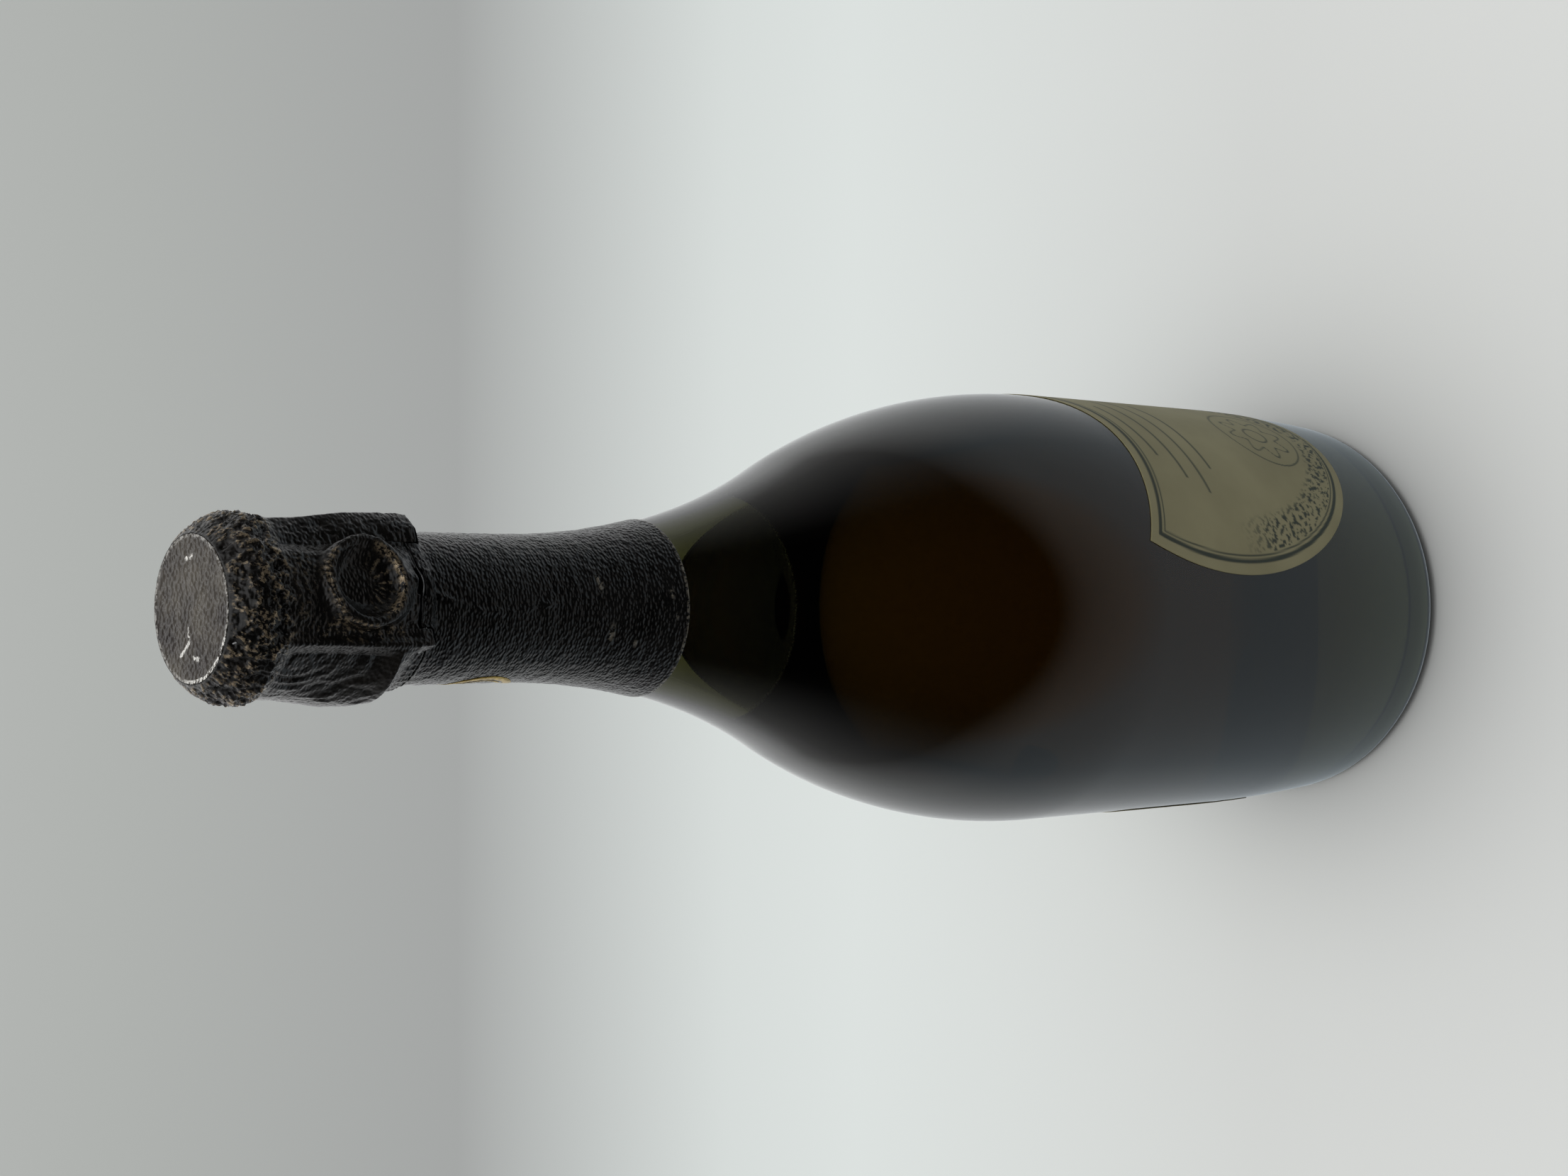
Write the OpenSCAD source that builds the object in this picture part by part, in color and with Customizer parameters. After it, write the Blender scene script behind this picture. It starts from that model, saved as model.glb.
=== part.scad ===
// A 75 cl sparkling wine bottle with its cork, wire cage, foil and labels.
// The origin is the centre of the bearing ring on the table, and +Z is the bottle's axis.
// Azimuths are in degrees from the middle of the front label, which faces -Y, towards +X.

/* [Glass outside] */
// Outer diameter of the body
body_d = 95.2; // [92:0.2:98]
// Height of the glass from the table to its mouth
glass_h = 283; // [278:0.5:290]
// Height at which the shoulder starts to curve in
shoulder_z = 104; // [98:1:108]
// Radius of the shoulder's outward curve
shoulder_r = 145; // [138:1:152]
// Length of the straight neck, up to the mouth
neck_len = 40; // [35:1:45]
// Outer diameter of the neck
neck_d = 26.4; // [25.8:0.1:26.8]
// Height below which the body draws in towards the heel
barrel_z = 45; // [40:1:50]
// Radius of that slow inward curve
barrel_r = 500; // [400:10:800]
// Radius of the heel between the wall and the bearing ring
heel_r = 5; // [4:0.2:6]
// Width of the flat bearing ring that stands on the table
bearing_w = 1.6; // [1:0.1:2.2]

/* [Glass inside] */
// Thickness of the body's wall
wall = 5.4; // [4.6:0.1:6]
// Bore of the neck below the cork
neck_bore_d = 19; // [18.6:0.1:20]
// Depth of the hollow pushed up into the base
punt_depth = 32; // [24:1:38]
// Thickness of the glass at the top of that hollow
punt_wall = 9; // [7:0.5:11]

/* [Finish] */
// Bore of the mouth that grips the cork
bore_d = 18; // [17.4:0.1:18.4]
// Depth of that bore
bore_depth = 27; // [26:0.5:30]
// Diameter of the lip at the mouth
lip_d = 28; // [27.4:0.1:28]
// Height of the lip
lip_h = 4.6; // [4:0.1:5.2]
// Diameter of the groove under the lip
groove_d = 26.6; // [26.2:0.1:27]
// Height of the groove
groove_h = 3.8; // [3.4:0.1:4.4]
// Diameter of the ring that the wire cage holds on to
ring_d = 28; // [27.8:0.1:28.4]
// Height of that ring
ring_h = 5.4; // [4.8:0.1:6]

/* [Wine] */
// Height of the wine's surface
fill_z = 185; // [170:1:205]
// Clearance between the wine and the glass
wine_gap = 0.05; // [0.02:0.01:0.1]

/* [Cork] */
// Clearance of the cork in the bore, on the radius
cork_gap = 0.05; // [0.02:0.01:0.08]
// Length of cork inside the mouth
cork_in = 24; // [22:0.5:25.5]
// Diameter of the cork's head
head_d = 26.6; // [25.6:0.1:26.8]
// Height of the head above the mouth
head_h = 20.3; // [19:0.1:22]
// Radius pressed into the head's top edge
head_round = 4; // [3.8:0.1:4.6]
// Thickness of each natural cork disc at the wine end
disc_t = 5.5; // [4.5:0.1:6.5]

/* [Plaque] */
// Diameter of the metal cap on the cork
plaque_d = 24.4; // [24:0.1:24.6]
// Thickness of its sheet
plaque_t = 0.3; // [0.2:0.05:0.35]
// Diameter of its raised middle
boss_d = 20.6; // [18:0.1:21]
// Height of its raised middle
boss_h = 1.1; // [0.9:0.1:1.3]

/* [Wire cage] */
// Wire of the crown that sits on the plaque
crown_wire_d = 1; // [0.8:0.05:1.05]
// Wire of the twisted legs
leg_wire_d = 0.7; // [0.6:0.05:0.75]
// Radius of the legs beside the cork's head
leg_r = 14.4; // [14.3:0.05:14.6]
// Full turns of twist in each leg
leg_turns = 6; // [4:1:8]
// Wire of the belt under the ring
belt_wire_d = 0.9; // [0.8:0.05:1]
// Azimuth of the first leg
leg_turn = 12; // [8:1:16]

/* [Key] */
// Wire of the key
key_wire_d = 0.9; // [0.8:0.05:0.95]
// Diameter of the key's eye, at the middle of its wire
key_eye_d = 13.6; // [12.6:0.1:14.4]
// Length of the key's twisted stem
key_stem = 3.2; // [2.8:0.1:3.8]
// Azimuth of the key
key_turn = -39; // [-41:1:-34]

/* [Foil] */
// Thickness of the foil
foil_t = 0.25; // [0.2:0.01:0.28]
// Clearance of the foil over the glass and the metal cap
foil_gap = 0.05; // [0.03:0.01:0.1]
// Length of the foil below the mouth
sleeve_len = 72.5; // [61:0.5:77]
// Diameter of the flat disc on top
top_disc_d = 24.8; // [24.6:0.1:25]
// Radius of the hood at its upper corner, over the legs
corner_r = 16.5; // [16.2:0.1:16.8]
// Depth of the dent in the foil inside the key's eye
dent = 1.85; // [1:0.05:1.9]
// Azimuth of the loose bulge in the hood
bulge_turn = -157; // [-170:1:-150]
// How far that bulge stands out
bulge = 1; // [0.4:0.1:1.2]
// Gap along the lines where the foil tears
tear_gap = 0.3; // [0.25:0.01:0.35]

/* [Labels] */
// Width of the front label, measured round the body
label_w = 80; // [70:1:84]
// Height of the front label
label_h = 84; // [76:1:86]
// Height of its lowest point
label_z = 24.5; // [20:0.5:28]
// Distance between the two points of its top edge
label_ears = 66; // [56:1:68]
// Depth of the hollow in its top edge
label_hollow = 8; // [4:0.5:12]
// Width of the back label
back_w = 72; // [60:1:80]
// Height of the back label
back_h = 51; // [44:1:60]
// Height of the back label's lower edge
back_z = 22; // [16:0.5:30]
// Corner radius of the back label
back_corner = 5; // [2:0.5:8]
// Thickness of the label paper
label_t = 0.12; // [0.08:0.01:0.15]
// Width of the printed oval on the neck
emblem_w = 17; // [14:0.5:19]
// Height of the printed oval
emblem_h = 16; // [12:0.5:17]
// Distance of its centre below the mouth
emblem_drop = 35; // [33:0.5:37]
// Azimuth of its centre
emblem_turn = -156; // [-170:1:-140]
// Width of its printed line
emblem_line = 0.7; // [0.4:0.05:1]

/* [Hidden] */
$fn = 96;

body_r = body_d / 2;
neck_z = glass_h - neck_len;
sleeve_low_z = glass_h - sleeve_len;
emblem_z = glass_h - emblem_drop;
neck_r = neck_d / 2;
bore_r = bore_d / 2;
neck_bore_r = neck_bore_d / 2;
lip_r = lip_d / 2;
groove_r = groove_d / 2;
ring_r = ring_d / 2;
head_r = head_d / 2;
// The lip, the groove and the ring follow each other down from the mouth
lip_low_z = glass_h - lip_h;
ring_top_z = lip_low_z - groove_h;
ring_low_z = ring_top_z - ring_h;
finish_round = 1.2;
mouth_round = 0.8;
groove_slope = 1.2;
// Circle that carries the heel, inside the barrel curve
bearing_r = body_r - barrel_r + sqrt(pow(barrel_r - heel_r, 2) - pow(barrel_z - heel_r, 2));

// Clearance between a wire and what moves past it
wire_gap = 0.3;
// Clearance between pieces of one body that only touch
touch_gap = 0.05;
cork_top_z = glass_h + head_h;
cork_low_z = glass_h - cork_in;
seat_gap = 0.2;
plaque_r = plaque_d / 2;
boss_r = boss_d / 2;
boss_top_z = cork_top_z + boss_h + plaque_t;
crown_r = plaque_r - 0.1 - crown_wire_d / 2;
crown_z = cork_top_z + plaque_t + crown_wire_d / 2 + touch_gap / 2;

strand_r = leg_wire_d / 2;
twist_r = strand_r + touch_gap / 2 + 0.01;
leg_reach = strand_r + twist_r;
belt_wire_r = belt_wire_d / 2;
belt_r = neck_r + belt_wire_r + 0.1;
belt_z = ring_low_z - belt_wire_r - 0.65;
// Radius of the eye at each leg's foot, at the middle of its wire
foot_eye_r = belt_wire_r + 0.1 + strand_r;
foot_r = ring_r + wire_gap + foot_eye_r + strand_r;
foot_out_r = foot_r + foot_eye_r + strand_r;

key_wire_r = key_wire_d / 2;
key_twist_r = key_wire_r + 0.03;
key_reach = key_wire_r + key_twist_r;
key_r = ring_r + wire_gap + key_reach;
key_hinge_z = belt_z + belt_wire_r + wire_gap + key_reach;
key_eye_r = key_eye_d / 2;
key_eye_z = key_hinge_z + key_stem + sqrt(pow(key_eye_r, 2) - pow(key_twist_r, 2));
// Distance of the foil over the key from the bottle's axis
key_foil_w = key_r + key_reach + 0.1 + foil_t;
key_foil_half = key_eye_r + key_wire_r + 0.6;
key_foil_low_z = key_hinge_z + 0.5;
dent_r = key_eye_r - key_wire_r - 0.3;

foil_off = foil_gap + foil_t;
disc_low_z = boss_top_z + foil_gap;
foil_top_z = disc_low_z + foil_t;
top_disc_r = top_disc_d / 2;
rim_r = top_disc_r + 0.1 + foil_t;
hood_low_z = belt_z - foot_eye_r - strand_r + 0.15;
collar_top_z = hood_low_z - tear_gap;
collar_low_z = hood_low_z - 4.5;
foot_foil_r = foot_out_r + wire_gap + foil_t;
waist_foil_r = leg_r + leg_reach + wire_gap + foil_t;
valley_foil_r = lip_r + wire_gap + 2 * foil_t;

paper_gap = 0.05;

foil_colour = "#26262a";
glass_colour = "#20251a";
paper_colour = "#7f7b5c";
gold_colour = "#b9a25a";
steel_colour = "#a9abad";
cork_colour = "#c39a67";

function arc(c, r, a0, a1, n) =
    [for (i = [0 : n]) let (a = a0 + (a1 - a0) * i / n) [c[0] + r * cos(a), c[1] + r * sin(a)]];
function bezier(a, b, c, d, n) =
    [for (i = [0 : n]) let (t = i / n, s = 1 - t)
        s * s * s * a + 3 * s * s * t * b + 3 * s * t * t * c + t * t * t * d];
// Point at azimuth a, radius r and height z
function polar(a, r, z) = [r * sin(a), -r * cos(a), z];
// Difference of two azimuths, between -180 and 180
function turn_from(a, b) = (a - b) - 360 * round((a - b) / 360);
function unit(v) = v / norm(v);
function smooth(t) = let (s = min(1, max(0, t))) s * s * (3 - 2 * s);
function reversed(list) = [for (i = [len(list) - 1 : -1 : 0]) list[i]];

// Radius of the neck's hollow curve that meets a shoulder arc without a corner
function hollow_r(r0, r1, rc) =
    let (dr = r0 - r1, dz = neck_z - shoulder_z) (dz * dz + dr * dr) / (2 * dr) - rc;
function meeting_angle(r0, r1, rc) = asin((neck_z - shoulder_z) / (rc + hollow_r(r0, r1, rc)));
// Shoulder and neck as two arcs, from the body at radius r0 to the neck at radius r1
function shoulder_line(r0, r1, rc, n) =
    let (rv = hollow_r(r0, r1, rc), a = meeting_angle(r0, r1, rc))
    concat(arc([r0 - rc, shoulder_z], rc, 0, a, n),
        [for (p = arc([r1 + rv, neck_z], rv, 180 + a, 180, n)) if (p[1] > shoulder_z + rc * sin(a) + 0.01) p]);

// Outer radius of the glass at height z, from the heel to the straight neck
function glass_r(z) =
    let (rv = hollow_r(body_r, neck_r, shoulder_r), a = meeting_angle(body_r, neck_r, shoulder_r))
    z < barrel_z ? body_r - barrel_r + sqrt(pow(barrel_r, 2) - pow(barrel_z - z, 2)) :
    z < shoulder_z ? body_r :
    z < shoulder_z + shoulder_r * sin(a) ?
        body_r - shoulder_r + sqrt(pow(shoulder_r, 2) - pow(z - shoulder_z, 2)) :
    z < neck_z ? neck_r + rv - sqrt(pow(rv, 2) - pow(neck_z - z, 2)) : neck_r;

heel_angle = asin((barrel_z - heel_r) / (barrel_r - heel_r));
punt_rim_r = bearing_r - bearing_w - 3.4;
// Underside hollow, from its rim to its top
punt_line = bezier([punt_rim_r, 4], [punt_rim_r - 4.5, 0.6 * punt_depth],
    [14, punt_depth], [0, punt_depth], 12);
outside_line = concat(
    arc([punt_rim_r + 3.4, 3.4], 3.4, 180, 270, 6),
    arc([bearing_r, heel_r], heel_r, 270, 360 - heel_angle, 8),
    [for (z = [heel_r + 5 : 5 : barrel_z]) [glass_r(z), z]],
    shoulder_line(body_r, neck_r, shoulder_r, 20),
    [[neck_r, ring_low_z], [ring_r, ring_low_z + ring_r - neck_r], [ring_r, ring_top_z - groove_slope],
        [groove_r, ring_top_z], [groove_r, lip_low_z - 0.2], [lip_r, lip_low_z + 0.6]],
    arc([lip_r - finish_round, glass_h - finish_round], finish_round, 0, 90, 4));

inner_r = body_r - wall;
base_z = 12;
inner_heel_r = 5.5;
// Inner wall, from the trough round the hollow up to the bottom of the mouth's bore
inside_wall = concat(
    arc([inner_r - 2 - inner_heel_r, base_z], inner_heel_r, 300, 360, 6),
    [[inner_r - 0.6, barrel_z / 2 + 4], [inner_r, barrel_z]],
    shoulder_line(inner_r, neck_bore_r, shoulder_r - wall, 12));
trough = inside_wall[0];
inside_dome = bezier([0, punt_depth + punt_wall], [18, punt_depth + punt_wall],
    [trough[0] - 3.5, 0.78 * punt_depth], trough, 12);
bore_low_z = glass_h - bore_depth;

module bottle_glass() {
    color(glass_colour) rotate_extrude() polygon(concat(
        reversed(punt_line), outside_line,
        arc([bore_r + mouth_round, glass_h - mouth_round], mouth_round, 90, 180, 4),
        [[bore_r, bore_low_z], [neck_bore_r, bore_low_z - 1.5]],
        reversed(inside_wall), [for (i = [11 : -1 : 0]) inside_dome[i]]));
}

module wine() {
    wall_points = [for (i = [1 : len(inside_wall) - 1]) let (p = inside_wall[i])
        if (p[1] < fill_z - 1) [p[0] - wine_gap, p[1] + wine_gap]];
    surface_r = glass_inner_r(fill_z) - wine_gap;
    color("#6d6430") rotate_extrude() polygon(concat(
        [for (i = [0 : 11]) [inside_dome[i][0], inside_dome[i][1] + 2 * wine_gap]],
        [trough + wine_gap * [1.2, 2.8]], wall_points, [[surface_r, fill_z], [0, fill_z]]));
}
// Inner radius of the glass on the shoulder and in the neck
function glass_inner_r(z) =
    let (rc = shoulder_r - wall, rv = hollow_r(inner_r, neck_bore_r, rc),
        a = meeting_angle(inner_r, neck_bore_r, rc))
    z < shoulder_z + rc * sin(a) ? inner_r - rc + sqrt(pow(rc, 2) - pow(max(0, z - shoulder_z), 2)) :
    neck_bore_r + rv - sqrt(pow(rv, 2) - pow(max(0, neck_z - z), 2));

cork_r = bore_r - cork_gap;
module cork_disc(z, chamfer) {
    rotate_extrude() polygon([[0, z], [cork_r - chamfer, z], [cork_r, z + chamfer],
        [cork_r, z + disc_t], [0, z + disc_t]]);
}
module cork_disc_lower() { color("#b98c58") cork_disc(cork_low_z, 0.8); }
module cork_disc_upper() { color("#c79c68") cork_disc(cork_low_z + disc_t, 0.05); }
module cork_body() {
    seat_z = glass_h + seat_gap;
    color(cork_colour) rotate_extrude() polygon(concat(
        [[0, cork_low_z + 2 * disc_t], [cork_r, cork_low_z + 2 * disc_t], [cork_r, seat_z],
            [bore_r + 2, seat_z]],
        bezier([head_r - 1.4, seat_z + 1], [head_r - 0.5, seat_z + 1.8], [head_r, seat_z + 3],
            [head_r, seat_z + 4.5], 5),
        arc([head_r - head_round, cork_top_z - head_round], head_round, 0, 90, 8),
        [[0, cork_top_z]]));
}

module plaque() {
    top = cork_top_z + touch_gap;
    t = plaque_t;
    color("#3c3a36") rotate_extrude() polygon([
        [0, top + boss_h - touch_gap], [boss_r - 0.5, top + boss_h - touch_gap],
        [boss_r, top], [plaque_r, top], [plaque_r, top + t - touch_gap],
        [boss_r + 0.2, top + t - touch_gap], [boss_r - 0.3, top + boss_h + t - touch_gap],
        [0, top + boss_h + t - touch_gap]]);
}

module cage_crown() {
    color(steel_colour) translate([0, 0, crown_z]) rotate_extrude()
        translate([crown_r, 0]) circle(r = crown_wire_d / 2);
}

// Rings of a wire of radius r along points, with ref square to the path
function wire_rings(points, r, sides, ref, closed) =
    let (n = len(points))
    [for (i = [0 : n - 1])
        let (a = points[closed ? (i + n - 1) % n : max(0, i - 1)],
            b = points[closed ? (i + 1) % n : min(n - 1, i + 1)],
            along = unit(b - a), side = unit(cross(along, ref)), up = cross(side, along))
        for (k = [0 : sides - 1]) let (t = 360 * k / sides)
            points[i] + r * (cos(t) * side + sin(t) * up)];
module wire(points, r, sides, ref, closed = false) {
    n = len(points);
    last = closed ? n - 1 : n - 2;
    skin = [for (i = [0 : last], k = [0 : sides - 1])
        let (j = (i + 1) % n, m = (k + 1) % sides)
        each [[i * sides + k, j * sides + k, j * sides + m],
            [i * sides + k, j * sides + m, i * sides + m]]];
    caps = closed ? [] : [
        [for (k = [0 : sides - 1]) k],
        [for (k = [sides - 1 : -1 : 0]) (n - 1) * sides + k]];
    polyhedron(wire_rings(points, r, sides, ref, closed), concat(skin, caps), convexity = 10);
}

// Middle of a leg in its own plane: over the crown's edge, down the cork, out to the foot
leg_top = [crown_r + 1, crown_z - 0.2];
straight_top_z = cork_top_z - 5.3;
straight_low_z = glass_h + 5;
foot_top_z = ring_low_z + 6.8;
foot_neck_z = belt_z + foot_eye_r * 0.92;
leg_line = concat(
    bezier(leg_top, leg_top + [1, -0.7], [leg_r, straight_top_z + 3.4], [leg_r, straight_top_z], 10),
    [for (i = [1 : 14]) [leg_r, straight_top_z + (straight_low_z - straight_top_z) * i / 14]],
    [for (i = [1 : 16]) bezier([leg_r, straight_low_z], [leg_r, straight_low_z - 5],
        [foot_r, foot_top_z + 4.5], [foot_r, foot_top_z], 16)[i]],
    [for (i = [1 : 10]) [foot_r, foot_top_z + (foot_neck_z - foot_top_z) * i / 10]]);
leg_steps = len(leg_line) - 1;
// The strands part at the crown over this many steps, and twist below it
leg_split = 6;
function strand(side) = [for (i = [0 : leg_steps])
    let (p = leg_line[i], q = leg_line[min(leg_steps, i + 1)], o = leg_line[max(0, i - 1)],
        along = unit(q - o),
        phase = i < leg_split ? 0 : (leg_turns + 0.25) * 360 * (i - leg_split) / (leg_steps - leg_split),
        spread = twist_r + 1.1 * pow(max(0, (leg_split - i) / leg_split), 2),
        out = side * spread * sin(phase), across = side * spread * cos(phase))
    [across, -(p[0] - along[1] * out), p[1] + along[0] * out]];
module leg(index) {
    foot = [for (i = [1 : 11]) let (a = 68 - 316 * i / 12)
        [0, -(foot_r + foot_eye_r * cos(a)), belt_z + foot_eye_r * sin(a)]];
    color(steel_colour) rotate([0, 0, leg_turn + 90 * index])
        wire(concat(strand(1), foot, reversed(strand(-1))), strand_r, 6, [1, 0, 0.001]);
}
module cage_leg_1() { leg(0); }
module cage_leg_2() { leg(1); }
module cage_leg_3() { leg(2); }
module cage_leg_4() { leg(3); }

// The belt runs under the ring, out through each foot's eye and out to the root of the key
function swell(x, w) = abs(x) < w ? (1 + cos(180 * x / w)) / 2 : 0;
function belt_radius(a) = belt_r
    + (foot_r - belt_r) * max([for (i = [0 : 3]) swell(turn_from(a, leg_turn + 90 * i), 17)])
    + (key_r - 0.35 - belt_r) * swell(turn_from(a, key_turn), 15);
module belt_wire() {
    color(steel_colour) wire([for (i = [0 : 89]) let (a = leg_turn + 4 * i) polar(a, belt_radius(a), belt_z)],
        belt_wire_r, 6, [0, 0, 1], true);
}

// One wire: up the twisted stem, round the eye and down again
module key_loop() {
    stem = function(side) [for (i = [0 : 8]) let (a = 45 * i)
        [side * key_twist_r * cos(a), -(key_r + side * key_twist_r * sin(a)), key_hinge_z + key_stem * i / 8]];
    open = asin(key_twist_r / key_eye_r);
    eye = [for (i = [1 : 31]) let (a = -90 + open + (360 - 2 * open) * i / 32)
        [key_eye_r * cos(a), -key_r, key_eye_z + key_eye_r * sin(a)]];
    color(steel_colour) rotate([0, 0, key_turn])
        wire(concat(stem(1), eye, reversed(stem(-1))), key_wire_r, 8, [0, 1, 0.001]);
}

// Closed sheet between two grids of points, rows by columns, open at all four sides
module sheet(outer, inner, rows, cols) {
    n = rows * cols;
    at = function(r, c) r * cols + c;
    front = [for (r = [0 : rows - 2], c = [0 : cols - 2])
        each [[at(r, c), at(r, c + 1), at(r + 1, c + 1)], [at(r, c), at(r + 1, c + 1), at(r + 1, c)]]];
    back = [for (f = front) [n + f[2], n + f[1], n + f[0]]];
    edge = concat([for (c = [0 : cols - 2]) at(0, c)], [for (r = [0 : rows - 2]) at(r, cols - 1)],
        [for (c = [cols - 1 : -1 : 1]) at(rows - 1, c)], [for (r = [rows - 1 : -1 : 1]) at(r, 0)]);
    side = [for (i = [0 : len(edge) - 1]) let (a = edge[i], b = edge[(i + 1) % len(edge)])
        each [[b, a, n + a], [b, n + a, n + b]]];
    polyhedron(concat(outer, inner), concat(front, back, side), convexity = 10);
}
// Closed tube between two grids of rings, each of cols points
module tube(outer, inner, rows, cols) {
    n = rows * cols;
    front = [for (r = [0 : rows - 2], c = [0 : cols - 1]) let (d = (c + 1) % cols)
        each [[r * cols + c, r * cols + d, (r + 1) * cols + d],
            [r * cols + c, (r + 1) * cols + d, (r + 1) * cols + c]]];
    back = [for (f = front) [n + f[2], n + f[1], n + f[0]]];
    low = [for (c = [0 : cols - 1]) let (d = (c + 1) % cols)
        each [[d, c, n + c], [d, n + c, n + d]]];
    top = (rows - 1) * cols;
    high = [for (c = [0 : cols - 1]) let (d = (c + 1) % cols)
        each [[top + c, top + d, n + top + d], [top + c, n + top + d, n + top + c]]];
    polyhedron(concat(outer, inner), concat(front, back, low, high), convexity = 10);
}

// Foil over the key: flat over the eye's wire and dented inside it
function key_sheet_w(u, z) =
    let (q = norm([u, z - key_eye_z]) / dent_r) key_foil_w - (q < 1 ? dent * pow(1 - q * q, 0.75) : 0);
key_rows = 19;
key_cols = 19;
key_foil_top = key_eye_z + key_foil_half;
function key_row_z(r) = let (s = r / (key_rows - 1))
    key_foil_low_z + (key_eye_z - key_foil_low_z) * min(1, 2 * s)
        + key_foil_half * (s < 0.5 ? 0 : sin(min(82, 90 * (2 * s - 1))));
function key_row_half(z) =
    z <= key_eye_z ? key_foil_half : sqrt(max(0, pow(key_foil_half, 2) - pow(z - key_eye_z, 2)));
module key_foil() {
    grid = [for (r = [0 : key_rows - 1], c = [0 : key_cols - 1])
        let (z = key_row_z(r), u = key_row_half(z) * (2 * c / (key_cols - 1) - 1)) [u, z]];
    color(foil_colour) rotate([0, 0, key_turn]) sheet(
        [for (g = grid) [g[0], -key_sheet_w(g[0], g[1]), g[1]]],
        [for (g = grid) [g[0], -key_sheet_w(g[0], g[1]) + foil_t, g[1]]],
        key_rows, key_cols);
}

// Outline of the hood over a leg and between two legs, as [height, radius] pairs
ridge_line = [[collar_top_z, foot_foil_r - 0.1], [hood_low_z, foot_foil_r], [ring_low_z, foot_foil_r],
    [ring_low_z + 6.5, foot_foil_r - 0.15], [glass_h - 2.5, foot_foil_r - 0.5],
    [glass_h + 2, waist_foil_r + 0.4], [glass_h + 6.5, waist_foil_r],
    [cork_top_z - 9.5, waist_foil_r], [cork_top_z - 6, corner_r - 0.2], [cork_top_z - 3.7, corner_r],
    [cork_top_z - 1.2, corner_r - 1.1], [foil_top_z - 0.9, rim_r + 1.25], [foil_top_z, rim_r]];
valley_line = [[collar_top_z, valley_foil_r - 0.1], [ring_low_z, valley_foil_r],
    [glass_h - 2.5, valley_foil_r + 0.2], [cork_top_z - 9.5, valley_foil_r + 0.5],
    [cork_top_z - 6, corner_r - 0.7], [cork_top_z - 3.7, corner_r - 0.2],
    [cork_top_z - 1.2, corner_r - 1.2], [foil_top_z - 0.9, rim_r + 1.25], [foil_top_z, rim_r]];
function lobe_r(a, z) =
    let (w = pow(abs(sin(2 * (a - leg_turn))), 0.7)) lookup(z, ridge_line) * (1 - w) + lookup(z, valley_line) * w;
bulge_z = glass_h - 4;
function hood_r(a, z) =
    let (d = abs(turn_from(a, key_turn)), edge = atan((key_foil_half + tear_gap) / key_foil_w) + 1,
        base = lobe_r(a, z)
            + bulge * exp(-pow(turn_from(a, bulge_turn) / 38, 2) - pow((z - bulge_z) / 8, 2)),
        flat = key_foil_w / cos(min(d, edge)),
        near = smooth((edge + 13 - d) / 13) * smooth((key_foil_top + 4.5 - z) / 4.5))
    base + max(0, flat - base) * near;
foil_cols = 72;
hood_rows = [hood_low_z, ring_low_z, ring_low_z + 3.5, ring_low_z + 7, glass_h - 2.5, glass_h + 2,
    key_foil_top + 0.5, key_foil_top + 4.5, cork_top_z - 6, cork_top_z - 3.7, cork_top_z - 1.2,
    foil_top_z - 0.9, foil_top_z];
function foil_azimuth(c) = leg_turn + 360 * c / foil_cols;
// The notch lets the foil over the key swing out, and lets the hood lift past it
module key_notch() {
    half = key_foil_half + tear_gap;
    rotate([0, 0, key_turn]) rotate([90, 0, 0]) translate([0, 0, 5]) linear_extrude(height = 20)
        polygon(concat([[-half, hood_low_z - 2], [half, hood_low_z - 2]],
            arc([0, key_eye_z], half, 0, 180, 20)));
}
module foil_hood() {
    last = len(hood_rows) - 1;
    color(foil_colour) difference() {
        tube([for (z = hood_rows, c = [0 : foil_cols - 1]) polar(foil_azimuth(c), hood_r(foil_azimuth(c), z), z)],
            [for (r = [0 : last], c = [0 : foil_cols - 1]) let (z = hood_rows[r])
                polar(foil_azimuth(c), hood_r(foil_azimuth(c), z) - foil_t, z - (r == last ? foil_t / 2 : 0))],
            last + 1, foil_cols);
        key_notch();
    }
}
module foil_top_disc() {
    color("#3a383c") translate([0, 0, disc_low_z]) cylinder(r = top_disc_r, h = foil_t);
}

// The sleeve follows the glass, then flares out under the feet of the cage
sleeve_rows = concat([for (i = [0 : 9]) sleeve_low_z + (neck_z - sleeve_low_z) * i / 9],
    [(neck_z + collar_low_z) / 2, collar_low_z, collar_low_z + 1.6, collar_low_z + 3, collar_top_z]);
function sleeve_r(a, z) =
    let (t = smooth((z - collar_low_z) / (collar_top_z - collar_low_z)))
    (glass_r(z) + foil_off) * (1 - t) + lobe_r(a, collar_top_z) * t;
module neck_sleeve() {
    color(foil_colour) tube(
        [for (z = sleeve_rows, c = [0 : foil_cols - 1]) polar(foil_azimuth(c), sleeve_r(foil_azimuth(c), z), z)],
        [for (z = sleeve_rows, c = [0 : foil_cols - 1])
            polar(foil_azimuth(c), sleeve_r(foil_azimuth(c), z) - foil_t, z)],
        len(sleeve_rows), foil_cols);
}

// Thin skin of thickness t round the bottle, off the glass by gap, between two heights
module skin(gap, t, z0, z1) {
    heights = [for (i = [0 : 20]) z0 + (z1 - z0) * i / 20];
    rotate_extrude() polygon(concat([for (z = heights) [glass_r(z) + gap + t, z]],
        [for (i = [20 : -1 : 0]) [glass_r(heights[i]) + gap, heights[i]]]));
}
// Outline measured round a wall of radius r, seen from the front
function unrolled(points, r) = [for (p = points) [r * sin(p[0] / r * 180 / PI), p[1]]];
module print_on(points, r) {
    rotate([90, 0, 0]) linear_extrude(height = r + 5) polygon(unrolled(points, r));
}

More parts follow.
